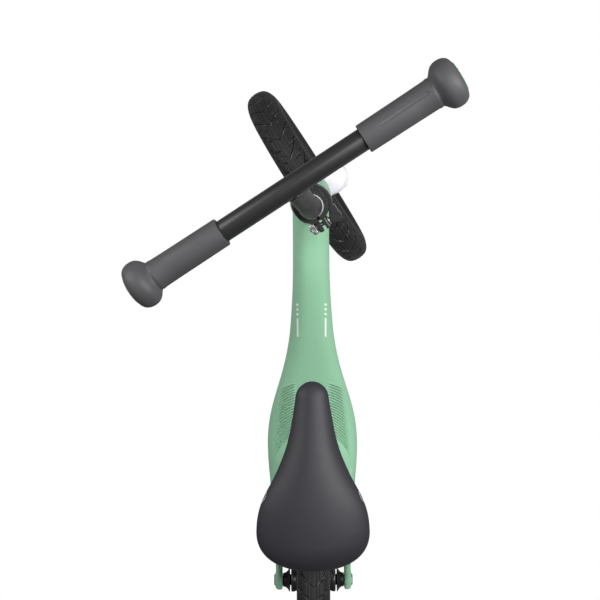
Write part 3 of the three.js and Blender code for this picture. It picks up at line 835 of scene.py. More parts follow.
@dataclass(frozen=True)
class TreadWearAndHighlight:
    """Pale edges along a tyre's arches, partly wear and partly painted highlight, and a painted highlight on its
    toothed shoulder.

    Attributes:
        cell: from arch to arch, in millimetres.
        lean: how far an arch falls back for each millimetre from the middle.
        bend: how much more it falls back further out.
        shoulder: from the middle of the tread to the toothed line.
        tooth: from tooth to tooth.
        colour: of the pale arch edges and of the painted shoulder highlight.
    """

    cell: float
    lean: float
    bend: float
    shoulder: float = 29.6
    tooth: float = 5.2
    colour: Colour = (0.20, 0.20, 0.205)

    def ink(self, graph: Graph) -> Field:
        """1 on the pale arch edges and the painted shoulder highlight, from UVs that hold arches along and
        millimetres across.
        """
        place = graph.node("SeparateXYZ", Vector=graph.node("TexCoord").outputs["UV"])
        u, v = graph.field(place.outputs[0]), graph.field(place.outputs[1]).size()
        behind = (u + (v * self.lean + v * v * self.bend) / self.cell).fraction() * self.cell
        patchy = ((graph.noise(95, 2.0) - 0.50) * 7.0).clamped()
        # The arch edges: partly wear, partly a painted highlight on the groove lips.
        edge = ((0.75 - (behind - 1.75).size()) * 2.5).clamped() * ((25.0 - v) * 0.5).clamped() * patchy
        teeth = ((u * (self.cell / self.tooth)).fraction() - 0.5).size() * 2.0
        # A painted highlight along the toothed shoulder, where the sidewall faces the light.
        rim = ((0.9 - (v - self.shoulder).size()) * 2.0).clamped() * ((teeth - 0.35) * 3.0).clamped()
        return (edge * 0.8 + rim * 0.75).clamped()


class Paintbox:
    """Every finish of the bike, by the record's slot."""

    mint: Colour = (0.262, 0.505, 0.328)
    # The paler mint of sharp edges: partly wear, partly a painted edge highlight.
    mint_edge_wear_and_highlight: Colour = (0.36, 0.60, 0.43)
    coat_black: Colour = (0.016, 0.016, 0.0165)

    def __init__(self) -> None:
        """Build the materials."""
        # The second colour of each finish is its edge colour: partly wear, partly a painted edge highlight.
        finishes = [
            Finish("mint_paint", self.mint, self.mint_edge_wear_and_highlight, Grain.POWDER, 0.46,
                   specular=0.35, relief=0.000018),
            Finish("white_paint", (0.80, 0.78, 0.85), (0.9, 0.9, 0.93), Grain.POWDER, 0.38, mottle=0.02),
            Finish("black_coat", self.coat_black, (0.10, 0.10, 0.105), Grain.POWDER, 0.38,
                   relief=0.000012, specular=0.5),
            Finish("bright_steel", (0.36, 0.355, 0.36), (0.7, 0.7, 0.7), Grain.BRUSHED, 0.48, metallic=1.0),
            Finish("grip_rubber", (0.062, 0.062, 0.065), (0.07, 0.07, 0.07), Grain.RUBBER, 0.56,
                   relief=0.00003, specular=0.4),
            Finish("tyre_rubber", (0.0125, 0.0125, 0.0127), (0.085, 0.085, 0.086), Grain.RUBBER, 0.62,
                   relief=0.00005, specular=0.35),
            Finish("mint_plastic", self.mint, self.mint_edge_wear_and_highlight, Grain.POWDER, 0.40, relief=0.000008),
            Finish("dark_plastic", (0.008, 0.008, 0.0085), (0.03, 0.03, 0.03), Grain.RUBBER, 0.5,
                   relief=0.00002, specular=0.3),
            Finish("saddle_skin", (0.026, 0.0245, 0.030), (0.04, 0.038, 0.044), Grain.SKIN, 0.50,
                   relief=0.000016, specular=0.3),
        ]
        self.materials = {finish.slot: finish.build().material for finish in finishes}
        by_slot = {finish.slot: finish for finish in finishes}
        self.marked_mint = self._printed(by_slot["mint_paint"], NeckMark(), FootArcs())
        self.marked_skin = self._printed(by_slot["saddle_skin"], SaddleMark())
        # The tyre's pale arch edges are partly wear and partly painted highlight; its shoulder line is a painted
        # highlight.
        self.scuffed_and_highlit_tyre = self._printed(by_slot["tyre_rubber"], TreadWearAndHighlight(29.85, ARCH_LEAN, ARCH_BEND))

    @staticmethod
    def _printed(finish: Finish, mark: NeckMark | SaddleMark | TreadWearAndHighlight,
                 arcs: FootArcs | None = None) -> bpy.types.Material:
        """A finish with a pale mark on it, and arcs where they are asked for."""
        graph = finish.build()
        graph.material.name = f"{finish.slot}_with_marks"
        plain = graph.shader.inputs["Base Color"].links[0].from_socket
        graph.set(Base_Color=graph.blend(mark.ink(graph), plain, mark.colour))
        if arcs:
            graph.relief(arcs.height(graph), arcs.depth)
        return graph.material


@dataclass
class Build:
    """What every sub-assembly shares: the places, the finishes and the way a piece is finished."""

    places: Places
    paints: Paintbox
    made: int = 0

    def finish(
        self,
        piece: bpy.types.Object,
        place: Matrix,
        body: str,
        slot: str,
        *nodes: str,
        crease: float = 32,
        material: bpy.types.Material | None = None,
    ) -> bpy.types.Object:
        """Put a piece in its place, dress it and let it ride.

        Args:
            piece: the modelled mesh, in millimetres.
            place: from its own place to the bike's frame.
            body: the body it rides on.
            slot: the material slot of its finish.
            nodes: the CAD nodes that it stands for.
            crease: degrees, above which an edge stays sharp.
            material: another material than the slot's own.

        Returns:
            The same piece.
        """
        piece.data.transform(place)
        choose(piece)
        bpy.ops.object.shade_smooth_by_angle(angle=math.radians(crease))
        piece.data.materials.clear()
        piece.data.materials.append(material or self.paints.materials[slot])
        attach(piece, body)
        if nodes:
            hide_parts(*nodes)
        self.made += 1
        LOG.info("%-26s %7d faces on %s", piece.name, len(piece.data.polygons), body)
        return piece


# ------------------------------------------------------------------ frame


@dataclass
class FrameCasting:
    """The cast frame: neck, foot rests, head tube, seat tube, stays and dropouts."""

    build: Build
    head_radius: float = 26.0
    head_low: float = 192.0
    head_high: float = 298.0
    cup_radius: float = 22.8
    cup_depth: float = 9.3
    head_bore: float = 17.5
    seat_outer: float = 19.0
    seat_bore: float = 15.7
    seat_depth: float = 60.0
    seat_top: float = 72.0
    axle_height: float = 141.81
    wheel_room: float = 151.5
    side_room: float = 34.0
    dropout_inner: float = 45.0
    dropout_outer: float = 56.0
    dropout_radius: float = 13.5
    voxel: float = 2.1
    arcs: FootArcs = FootArcs()
    arc_step: float = 0.35
    # y, half width, top and bottom of the body from the wheel to the head.
    body: tuple = (
        (160, 61.0, 228.5, 172.5), (168, 61.6, 231.5, 173), (188, 62.8, 237, 176), (214, 63, 243.5, 180),
        (238, 60.5, 250, 184), (262, 55, 260, 190), (286, 47.5, 273, 198), (307, 40.8, 286, 208),
        (347, 31.3, 313, 229), (390, 26.6, 342, 254), (432, 24.2, 369, 280), (466, 23.6, 386, 299),
        (498, 23.3, 399, 318), (524, 23.2, 408, 338),
    )
    # y, middle x, half thickness, top and bottom of a stay from the axle to the body.
    stay: tuple = (
        (0, 49.8, 4.75, 156, 130), (20, 49.8, 4.9, 166, 139), (50, 50, 5.4, 180, 147),
        (84, 50.6, 6.2, 196, 156), (118, 50.8, 7.8, 212, 164), (150, 50.7, 9.6, 223.5, 170),
        (172, 50.2, 9.8, 227, 177), (200, 46, 7, 224, 190),
    )

    def _section_bar(self, name: str, rows: np.ndarray, power: np.ndarray) -> bpy.types.Object:
        """Skin rows of y, middle x, half width, top and bottom, each with its own squareness."""
        u, v = super_ring(64, power[:, None])
        x = rows[:, 1:2] + u * rows[:, 2:3]
        y = np.repeat(rows[:, 0:1], u.shape[1], 1)
        z = (rows[:, 3:4] + rows[:, 4:5]) / 2 + v * (rows[:, 3:4] - rows[:, 4:5]) / 2
        return from_rings(name, np.stack([x, y, z], 2), close_ring=False)

    def _shells(self) -> list[bpy.types.Object]:
        """The overlapping solids that the casting is melted from."""
        to_mm = Matrix.Scale(1 / MM, 4)
        head = to_mm @ self.build.places.head
        seat = to_mm @ self.build.places.seat
        body = flowing(self.body, 70)
        body = np.insert(body, 1, 0.0, axis=1)
        squareness = 2.5 + 1.2 * (1 - smoothstep(body[:, 0], 168, 222))
        shells = [self._section_bar("body", body, squareness)]
        radius = self.head_radius
        tube = turned("head", [(radius - 1.2, self.head_low), (radius, self.head_low + 1.5),
                               (radius, self.head_high - 7), (radius - 2.2, self.head_high)])
        shells.append(shift(tube, head))
        outer, top = self.seat_outer, self.seat_top
        tube = [(outer + 7, -30), (outer + 2.5, 0), (outer, 16), (outer, top - 21), (outer - 1.2, top - 19)]
        shells.append(shift(turned("seat", tube), seat))
        for side in (-1, 1):
            rows = flowing(self.stay, 40)
            rows[:, 1] *= side
            shells.append(self._section_bar("stay", rows, np.full(len(rows), 3.0)))
            radius, rim = self.dropout_radius, self.dropout_outer
            boss = turned("boss", [(radius, self.dropout_inner), (radius, rim - 1.5), (radius - 1.5, rim)])
            shells.append(shift(boss, moved(z=self.axle_height) @ outward(side)))
            outline = [(-13.5, 12), (-13.5, -11), (-2, -17), (9, -15), (12, 0)]
            tail = prism("tail", outline, self.dropout_inner, self.dropout_inner + 9.5)
            turn = Matrix(((0, 0, side, 0), (1, 0, 0, 0), (0, 1, 0, self.axle_height), (0, 0, 0, 1)))
            shells.append(tidy(shift(tail, turn)))
        return shells

    def _bores(self) -> list[bpy.types.Object]:
        """What is machined out of the casting."""
        to_mm = Matrix.Scale(1 / MM, 4)
        head = to_mm @ self.build.places.head
        seat = to_mm @ self.build.places.seat
        bore = [(self.head_bore, self.head_low - 2), (self.head_bore, self.head_high + 2)]
        tools = [shift(turned("bore", bore), head)]
        for low, high in ((self.head_low - 3, self.head_low + self.cup_depth),
                          (self.head_high - self.cup_depth, self.head_high + 3)):
            tools.append(shift(turned("cup seat", [(self.cup_radius, low), (self.cup_radius, high)]), head))
        bore = [(self.seat_bore, -self.seat_depth), (self.seat_bore, self.seat_top + 3)]
        tools.append(shift(turned("seat bore", bore), seat))
        half = self.dropout_outer + 2
        axle = turned("axle hole", [(AXLE_HOLE, -half), (AXLE_HOLE, half)])
        tools.append(shift(axle, moved(z=self.axle_height) @ outward(1)))
        for side in (-1, 1):
            well = turned("nut well", [(NUT_WELL, self.dropout_inner + 7), (NUT_WELL, half)])
            tools.append(shift(well, moved(z=self.axle_height) @ outward(side)))
        return tools

    def _arc_share(self, x: np.ndarray, y: np.ndarray) -> np.ndarray:
        """How far a point lies through the nested arcs, from 0 at the front one to 1 at the last."""
        front, front_radius = self.arcs.front
        back, back_radius = self.arcs.back
        dc, dr = back - front, back_radius - front_radius
        a = dc * dc - dr * dr
        b = -2 * ((y - front) * dc + front_radius * dr)
        c = x**2 + (y - front) ** 2 - front_radius**2
        return (-b + np.sqrt(np.maximum(b * b - 4 * a * c, 0))) / (2 * a)

    def _raise_arcs(self, piece: bpy.types.Object) -> None:
        """Step the arcs low over both foot rests, on a finer mesh there."""
        choose(piece)
        mesh = piece.data
        centres = np.zeros(len(mesh.polygons) * 3)
        normals = np.zeros(len(mesh.polygons) * 3)
        mesh.polygons.foreach_get("center", centres)
        mesh.polygons.foreach_get("normal", normals)
        centres, normals = centres.reshape(-1, 3), normals.reshape(-1, 3)
        wide = np.abs(centres[:, 0])
        picked = (normals[:, 2] > 0.35) & (wide > 19) & (wide < 58)
        picked &= (centres[:, 1] > 188) & (centres[:, 1] < 296)
        deselect()
        mesh.polygons.foreach_set("select", picked)
        mesh.update()
        choose(piece)
        bpy.ops.object.mode_set(mode="EDIT")
        bpy.ops.mesh.select_mode(type="FACE")
        bpy.ops.mesh.subdivide(number_cuts=3)
        bpy.ops.object.mode_set(mode="OBJECT")
        points = points_of(piece)
        x, y, z = points.T
        share = self._arc_share(x, y)
        phase = share * self.arcs.count
        step = phase - np.floor(phase)
        rise = self.arcs.rise
        saw = np.where(step < rise, smoothstep(step, 0.0, rise), 1 - smoothstep(step, rise, 1.0))
        outer = np.interp(y, (196, 240, 290), (52, 50, 41))
        inside = smoothstep(np.abs(x), 21, 26) * (1 - smoothstep(np.abs(x), outer - 5, outer + 2))
        inside *= smoothstep(share, 0.0, 0.01) * (1 - smoothstep(share, 0.97, 1.0))
        normal = np.zeros(len(points) * 3)
        piece.data.vertices.foreach_get("normal", normal)
        normal = normal.reshape(-1, 3)
        inside *= smoothstep(normal[:, 2], 0.25, 0.6) * (z > 200)
        points += normal * (saw * inside * self.arc_step)[:, None]
        set_points(piece, points)

    def make(self) -> None:
        """Model, cut and dress the frame."""
        piece = joined("frame_casting", self._shells())
        fused(piece, self.voxel, 0)
        room = [(self.wheel_room, -self.side_room), (self.wheel_room, self.side_room)]
        room = turned("wheel room", room, FINE_ROUND)
        cut(piece, [shift(room, moved(z=self.axle_height) @ outward(1))])
        fused(piece, self.voxel, 7)
        self._raise_arcs(piece)
        cut(piece, self._bores())
        paint = self.build.paints.marked_mint
        build = self.build
        build.finish(piece, build.places.bike, "frame", "mint_paint", "frame", crease=78, material=paint)
        neck = [(self.seat_bore, 50), (17.0, 50), (17.0, 73.2), (self.seat_bore, 73.2)]
        piece = soften(turned("seat_tube_neck", neck, hollow=True), 0.3)
        build.finish(piece, build.places.seat, "frame", "mint_paint")


@dataclass
class Headset:
    """Cups, lock ring, spacer and the steerer's open end."""

    build: Build
    steerer: float = 15.0
    wall: float = 1.9
    cup_radius: float = 22.5
    low: float = 192.0
    high: float = 298.0
    cup_depth: float = 9.0
    lock_radius: float = 24.0
    lock_height: float = 8.0
    spacer_radius: float = 18.2
    clamp_low: float = 324.0
    steerer_low: float = 161.0
    steerer_top: float = 349.0

    def _cup(self, name: str, face: float, way: int) -> None:
        """One cup, its lip outwards of a face of the head tube.

        Args:
            name: the CAD node that it stands for.
            face: height of the head tube's end.
            way: 1 where the cup goes up into the tube and -1 where it goes down.
        """
        lip = self.cup_radius + 0.7
        profile = [(19.5, -1.4), (lip, -1.4), (lip, -0.3), (self.cup_radius, -0.3),
                   (self.cup_radius, self.cup_depth), (16.5, self.cup_depth), (16.5, self.cup_depth - 2),
                   (19.5, self.cup_depth - 2)]
        profile = [(radius, face + way * height) for radius, height in profile]
        piece = soften(turned(name + "_turned", profile, hollow=True), 0.25)
        self.build.finish(piece, self.build.places.head, "frame", "black_coat", name)

    def make(self) -> None:
        """Turn and place every piece."""
        build, front = self.build, self.build.places.front
        self._cup("headset_lower_cup", self.low, 1)
        self._cup("headset_upper_cup", self.high, -1)
        inner, low = self.steerer + 0.3, self.high + 2
        top = low + self.lock_height
        outer = self.lock_radius
        lock = [(inner, low), (outer, low), (outer, top - 3), (outer - 2.4, top), (inner, top)]
        lock = turned("headset_lock_ring_turned", lock, hollow=True)
        notches = [block("notch", (5, 4, 7), (0, 0, 0)) for _ in range(4)]
        for k, notch in enumerate(notches):
            turn = Matrix.Rotation(math.radians(45 + 90 * k), 4, "Z")
            shift(notch, turn @ moved(y=self.lock_radius + 0.6, z=low + 3))
        soften(cut(lock, notches), 0.35)
        build.finish(lock, front, "front_fork", "black_coat", "headset_lock_ring")
        low, high, outer = top + GAP, self.clamp_low - GAP, self.spacer_radius
        spacer = [(inner, low), (outer, low), (outer, high), (inner, high)]
        piece = soften(turned("headset_spacer_turned", spacer, hollow=True), 0.5)
        build.finish(piece, front, "front_fork", "black_coat", "headset_spacer")
        bore = self.steerer - self.wall
        pipe = [(bore, self.steerer_low), (self.steerer, self.steerer_low), (self.steerer, self.steerer_top),
                (bore, self.steerer_top)]
        tube = turned("steerer_pipe", pipe, hollow=True)
        slot = block("slot", (3, 30, 34), (0, -self.steerer, self.steerer_top - 16))
        soften(cut(tube, [slot]), 0.35)
        build.finish(tube, front, "front_fork", "bright_steel", "steerer_tube")


@dataclass
class CamClamp:
    """A split collar with its cross bolt, washer, cam lever and knurled nut."""

    build: Build
    prefix: str
    place: Matrix
    body: str
    low: float
    height: float
    bore: float
    outer: float
    side: int
    bolt: float = 2.6
    split: float = 4.0
    ear_thick: float = 5.2
    ear_half: float = 7.6
    nut_radius: float = 7.0
    nut_length: float = 8.0
    lever_thick: float = 4.6
    lever_height: float = 13.0
    head_radius: float = 7.4
    pivot: float = 18.6
    sweep: float = 108.0

    def __post_init__(self) -> None:
        """Work out where the cross bolt and the lever lie."""
        self.bolt_out = self.outer + 5.3
        self.ear_outer = self.split / 2 + self.ear_thick
        self.middle = self.low + self.height / 2
        self.bolt_place = moved(y=-self.bolt_out, z=self.middle)

    def _done(self, piece: bpy.types.Object, body: str, slot: str, node: str) -> None:
        """Mirror a piece where the lever is on the left, and finish it."""
        if self.side < 0:
            shift(piece, Matrix.Scale(-1, 4, (1, 0, 0)))
            tidy(piece)
        self.build.finish(piece, self.place, body, slot, f"{self.prefix}_{node}", crease=40)

    def _collar(self) -> bpy.types.Object:
        """The split band and its two ears."""
        band = turned("band", [(self.outer, self.low), (self.outer, self.low + self.height)])
        reach = self.bolt_out + self.ear_half
        size = (self.ear_outer * 2, reach - self.bore, self.height - 5)
        ears = block("ears", size, (0, -(reach + self.bore) / 2, self.middle))
        ears = soften(ears, 1.6, 4)
        piece = joined(f"{self.prefix}_band", [band, ears])
        fused(piece, 0.5, 2)
        loose = self.bore + GAP
        bore = turned("bore", [(loose, self.low - 2), (loose, self.low + self.height + 2)])
        depth = reach + 4
        place = (0, -self.bore - depth / 2 + 2, self.middle)
        split = block("split", (self.split, depth, self.height + 4), place)
        hole = turned("hole", [(self.bolt + GAP, -20), (self.bolt + GAP, 20)])
        shift(hole, self.bolt_place @ outward(1))
        low, high = self.middle - 2.2, self.middle + 2.2
        inside, beyond = self.outer - 0.6, self.outer + 2
        groove = [(inside, low), (beyond, low), (beyond, high), (inside, high)]
        groove = turned("groove", groove, hollow=True)
        keep_ears = block("keep", (self.ear_outer * 2 + 6, 40, 30), (0, -self.outer - 10, self.middle))
        cut(groove, [keep_ears])
        return cut(piece, [bore, split, hole, groove])

    def _lever(self) -> bpy.types.Object:
        """The cam head with its two cheeks and the handle that hugs the collar."""
        inner = self.outer + 1.1
        half = self.lever_height / 2
        start = math.atan2(5 - self.bolt_out, self.pivot)
        steps = 40
        angles = [start + math.radians(self.sweep) * k / steps for k in range(steps + 1)]
        bulge = [0.5 * math.sin(math.pi * k / steps) for k in range(steps + 1)]
        reach = [(inner + self.lever_thick + out, a) for out, a in zip(bulge, angles)]
        back = [(inner + 0.8 * (k / steps) ** 2, a) for k, a in enumerate(angles)][::-1]
        tip_middle = inner + self.lever_thick / 2 + 0.4
        tip = [(tip_middle + math.cos(t) * self.lever_thick / 2, angles[-1] + math.sin(t) * 0.09)
               for t in np.linspace(0.3, math.pi - 0.3, 8)]
        outline = [(r * math.cos(a), r * math.sin(a) + self.bolt_out) for r, a in (*reach, *tip, *back)]
        handle = prism("handle", outline, -half, half)
        head = shift(turned("head", [(self.head_radius, -half), (self.head_radius, half)]), moved(self.pivot))
        neck = block("neck", (6, 10, self.lever_height), (self.pivot + 3.4, 7.5, 0))
        piece = joined(f"{self.prefix}_handle", [handle, head, neck])
        fused(piece, 0.42, 4)
        pin = shift(turned("pin hole", [(3.3, -half - 3), (3.3, half - 1.3)]), moved(self.pivot))
        boss = [(3.1, half - 0.5), (3.9, half - 0.5), (3.9, half + 1), (3.1, half + 1)]
        boss = shift(turned("boss line", boss, hollow=True), moved(self.pivot))
        cheek = self.head_radius + 0.6
        room = shift(turned("room", [(cheek, -3.2), (cheek, 3.2)]), moved(self.pivot))
        slot = block("slot", (24, 22, 6.4), (self.pivot - 12, 0, 0))
        return shift(cut(piece, [pin, boss, room, slot]), self.bolt_place)

    def _nut(self) -> bpy.types.Object:
        """The knurled thumb nut."""
        near = self.ear_outer + GAP
        far = near + self.nut_length
        radius = self.nut_radius
        profile = [(self.bolt + GAP, near), (radius - 1.5, near), (radius - 1.5, near + 0.8),
                   (radius - 0.3, near + 1.3), (radius, near + 1.8), (radius, far - 1.4),
                   (radius - 0.9, far - 0.3), (radius - 2.2, far), (self.bolt + GAP, far)]
        piece = turned(f"{self.prefix}_thumb_nut", profile, 144, hollow=True)
        points = points_of(piece)
        out = np.hypot(points[:, 0], points[:, 1])
        angle = np.arctan2(points[:, 1], points[:, 0])
        tooth = np.cos(angle * 36) * 0.28 * (out > radius - 0.6)
        points[:, :2] *= (1 + (tooth - 0.28 * (tooth != 0)) / out)[:, None]
        set_points(piece, points)
        return shift(piece, self.bolt_place @ outward(-1))

    def make(self) -> None:
        """Model all five pieces."""
        self._done(self._collar(), self.body, "black_coat", "collar")
        near, far = self.ear_outer + GAP, self.ear_outer + 2.4
        hole = self.bolt + GAP
        washer = [(hole, near), (5.9, near), (5.9, far), (hole, far)]
        washer = turned(f"{self.prefix}_thrust_washer", washer, hollow=True)
        shift(soften(washer, 0.35), self.bolt_place @ outward(1))
        self._done(washer, self.body, "bright_steel", "washer")
        shank = [(self.bolt - 0.5, -near - self.nut_length - 1.2)]
        for k in range(9):
            height = -near - self.nut_length - 0.7 + k * 0.9
            shank += [(self.bolt, height), (self.bolt - 0.35, height + 0.45)]
        shank += [(self.bolt, 0), (self.bolt, self.pivot)]
        rod = shift(turned("shank", shank, SMALL_ROUND), outward(1))
        pin_half = self.lever_height / 2 - 0.3
        pin = [(2.6, -pin_half), (3, -pin_half + 0.4), (3, pin_half - 1.6), (2.6, pin_half - 1.2)]
        pin = turned("pin", pin, SMALL_ROUND)
        bolt = joined(f"{self.prefix}_cross_bolt", [rod, shift(pin, moved(self.pivot))])
        self._done(shift(bolt, self.bolt_place), self.body, "bright_steel", "bolt")
        self._done(self._nut(), f"{self.prefix}_nut", "bright_steel", "nut")
        self._done(self._lever(), f"{self.prefix}_lever", "black_coat", "lever")


@dataclass
class Fork:
    """The one-armed cast fork."""

    build: Build
    crown_low: float = 151.0
    crown_top: float = 186.0
    end_radius: float = 21.5
    shoulder: Point = (31.0, 1.0)
    shoulder_radii: Point = (25.0, 21.5)
    arm_inner: float = 35.5
    arm_outer: float = 55.0
    arm_end: float = 15.5
    # height, middle x, half width and half depth of the arm.
    arm: tuple = (
        (0, 45.2, 9.2, 15), (22, 44.8, 9.6, 15.3), (50, 43.6, 10.3, 15.8), (84, 42.4, 11, 16.8),
        (120, 42, 12.2, 18.4), (150, 42.2, 13.2, 20), (178, 42, 13.5, 20),
    )

    def _round(self, middle: Point, radii: Point) -> bpy.types.Object:
        """One rounded end of the crown."""
        low, top = self.crown_low, self.crown_top
        levels = [(low, 0.86), (low + 2, 0.93), (low + 5, 0.975), (low + 10, 1.0), (top - 15, 1.0),
                  (top - 10, 0.985), (top - 6.5, 0.955), (top - 3.8, 0.9), (top - 1.8, 0.81),
                  (top - 0.6, 0.68), (top, 0.5)]
        u, v = super_ring(72, 2)
        rings = [np.stack([middle[0] + u * radii[0] * s, middle[1] + v * radii[1] * s, np.full(72, z)], 1)
                 for z, s in levels]
        return from_rings("crown", np.array(rings), close_ring=False)

    def make(self) -> None:
        """Melt the crown and the arm together, then bore them."""
        rows = flowing(self.arm, 40)
        u, v = super_ring(56, 2.4)
        share = rows[:, 0:1] / self.crown_top
        ahead = FORK_RAKE + (self.shoulder[1] - FORK_RAKE) * share
        x = rows[:, 1:2] + u[None] * rows[:, 2:3]
        y = ahead + v[None] * rows[:, 3:4]
        arm = from_rings("arm", np.stack([x, y, np.repeat(rows[:, 0:1], 56, 1)], 2), close_ring=False)
        end = [(self.arm_end, self.arm_inner), (self.arm_end, self.arm_outer - 2),
               (self.arm_end - 1.2, self.arm_outer - 1)]
        end = shift(turned("end", end), moved(y=FORK_RAKE) @ outward(1))
        middle = tuple(value / 2 for value in self.shoulder)
        parts = [self._round((0, 0), (self.end_radius,) * 2), self._round(self.shoulder, self.shoulder_radii),
                 self._round(middle, (self.end_radius * 0.95,) * 2), arm, end]
        piece = joined("fork_casting", parts)
        fused(piece, 0.9, 16)
        socket = turned("socket", [(15.3, 160.7), (15.3, self.crown_top + 3)])
        axle = moved(y=FORK_RAKE) @ outward(1)
        hole = turned("axle hole", [(AXLE_HOLE, self.arm_inner - 8), (AXLE_HOLE, self.arm_outer + 8)])
        well = turned("well", [(NUT_WELL, self.arm_outer - 6), (NUT_WELL, self.arm_outer + 5)])
        cut(piece, [socket, shift(hole, axle), shift(well, axle)])
        self.build.finish(piece, self.build.places.front, "front_fork", "white_paint", "fork", crease=50)


@dataclass
class TeeBar:
    """The stem post, the bar welded across it, the grips and their plugs."""

    build: Build
    radius: float = 12.7
    wall: float = 2.0
    forward: float = 37.9
    height: float = 431.0
    half: float = 206.0
    post_low: float = 236.0
    bend_start: float = 362.0
    lean: float = 32.7
    grip_inner: float = 92.5
    grip_outer: float = 214.0
    flare: float = 28.0
    slot_from: float = 114.0
    slot_to: float = 177.0
    slot_width: float = 4.2
    slot_turn: float = 15.6

    def _post(self) -> bpy.types.Object:
        """The post: straight up the steerer, then bent forward to the bar."""
        knee = self.height - self.forward / math.tan(math.radians(self.lean))
        low, bend, top = (np.array((0, 0, z), float) for z in (self.post_low, self.bend_start, knee))
        end = np.array((0, self.forward, self.height))
        elbow = top + (end - top) * 0.42
        path = [low, low + (bend - low) * 0.5, bend]
        for t in np.linspace(0.06, 1, 16):
            path.append((1 - t) ** 2 * bend + 2 * t * (1 - t) * top + t * t * elbow)
        path.append(end)
        piece = swept("stem_post_tube", [tuple(p) for p in path], self.radius, 15)
        across = moved(y=self.forward, z=self.height) @ outward(1)
        seat = shift(turned("seat", [(self.radius + 0.25, -40), (self.radius + 0.25, 40)]), across)
        beyond = block("beyond", (80, 80, 60), (0, 0, 30))
        leaned = Matrix.Rotation(math.radians(-self.lean), 4, "X")
        shift(beyond, moved(y=self.forward, z=self.height) @ leaned)
        bore = self.radius - self.wall
        plug = turned("plug bore", [(bore, self.post_low - 2), (bore, self.post_low + 60)])
        return cut(piece, [beyond, seat, plug])

    def _weld(self) -> bpy.types.Object:
        """The bead around the joint of post and bar, with its frozen ripples."""
        lean = math.radians(self.lean)
        along = np.array((0, math.sin(lean), math.cos(lean)))
        side = np.array((1.0, 0, 0))
        front = np.cross(along, side)
        count, around = 220, 14
        middle = np.array((0, self.forward, self.height))
        radius = self.radius
        rings = []
        for k in range(count):
            phi = 2 * math.pi * k / count
            away = side * math.cos(phi) + front * math.sin(phi)
            drop = math.sqrt((radius + 0.3) ** 2 - (radius * math.sin(phi)) ** 2)
            uneven = noise.noise(Vector((math.cos(phi), math.sin(phi), 0.4)) * 3)
            swell = 2.0 + 0.4 * math.sin(phi * 34) + 0.35 * uneven
            for j in range(around):
                t = 2 * math.pi * j / around
                down = along * (drop + 0.2 + swell * math.sin(t))
                rings.append(middle + away * (radius + swell * math.cos(t)) - down)
        return from_rings("stem_weld_bead", np.array(rings).reshape(count, around, 3))

    def _grip(self, side: int) -> bpy.types.Object:
        """One grip, its slot cut along the upper side."""
        start, end = self.grip_outer - self.flare, self.grip_outer
        inner = self.radius + 0.3
        near = self.grip_inner
        sleeve = [(inner, near), (15.9, near), (16.5, near + 0.4), (16.7, near + 1.4), (17.1, start - 30),
                  (17.4, start - 7), (17.9, start - 5.6), (17.9, start - 4.2), (17.5, start - 3)]
        cap = flowing([(0, 17.7), (1.6, 19.2), (3.4, 21.6), (5.6, 24.2), (8.4, 26.4), (12, 27.7),
                       (15.5, 28.0), (19, 27.7), (22, 26.7), (24.6, 25.0), (26.4, 22.9), (27.4, 20.6),
                       (28, 17.9)], 44)
        profile = [*sleeve, *((radius, start - 1.6 + (at * (end - start + 1.6) / 28)) for at, radius in cap)]
        profile += [(11.0, end), (11.0, self.half + 0.3), (inner, self.half + 0.3)]
        word = "right" if side > 0 else "left"
        piece = turned(f"grip_{word}_sleeve", profile, FINE_ROUND, hollow=True)
        steps = np.linspace(0, math.pi, 13)
        half = self.slot_width / 2
        outline = [(half * math.cos(t), self.slot_to - half + half * math.sin(t)) for t in steps]
        outline += [(-half * math.cos(t), self.slot_from + half - half * math.sin(t)) for t in steps]
        slot = soften(prism("slot", outline, 16.1, 22), 0.5)
        stand = Matrix(((0, 0, 1, 0), (1, 0, 0, 0), (0, 1, 0, 0), (0, 0, 0, 1)))
        turn = Matrix.Rotation(math.radians(180 - side * self.slot_turn), 4, "Z")
        shift(slot, turn @ stand)
        return cut(piece, [tidy(slot)])

    def _plug(self, side: int) -> bpy.types.Object:
        """The plug that shows as a disc in the grip's end."""
        end = self.grip_outer
        word = "right" if side > 0 else "left"
        profile = [(10.2, self.half - 12), (10.4, self.half - 11), (10.4, end + 0.3), (17.2, end + 0.3),
                   (17.4, end + 0.6), (16.9, end + 1.0), (14.4, end + 1.1), (13.9, end + 0.75),
                   (13.4, end + 1.1), (6, end + 1.2), (0, end + 1.2)]
        return turned(f"grip_plug_{word}_disc", profile)

    def make(self) -> None:
        """Model and place the whole bar."""
        build, front = self.build, self.build.places.front
        across = front @ moved(y=self.forward, z=self.height)
        build.finish(self._post(), front, "handlebar", "black_coat", "stem_post", crease=40)
        build.finish(self._weld(), front, "handlebar", "black_coat", crease=180)
        bore = self.radius - self.wall
        pipe = [(bore, -self.half), *((self.radius, at) for at in (-self.half, 0, self.half)),
                (bore, self.half)]
        piece = soften(turned("handlebar_pipe", pipe, hollow=True), 0.4)
        build.finish(shift(piece, outward(1)), across, "handlebar", "black_coat", "handlebar_tube")
        low = self.post_low
        plug = [(11.5, low - 2.5), (12.7, low - 1.4), (12.7, low - 0.3), (10.4, low - 0.3), (10.4, low + 12)]
        piece = soften(turned("stem_post_plug_cap", plug), 0.3)
        build.finish(piece, front, "handlebar", "dark_plastic", "stem_post_plug")
        for side, word in ((-1, "left"), (1, "right")):
            grip = shift(self._grip(side), outward(side))
            build.finish(grip, across, "handlebar", "grip_rubber", f"grip_{word}")
            plug = shift(self._plug(side), outward(side))
            build.finish(plug, across, "handlebar", "mint_plastic", f"grip_plug_{word}")


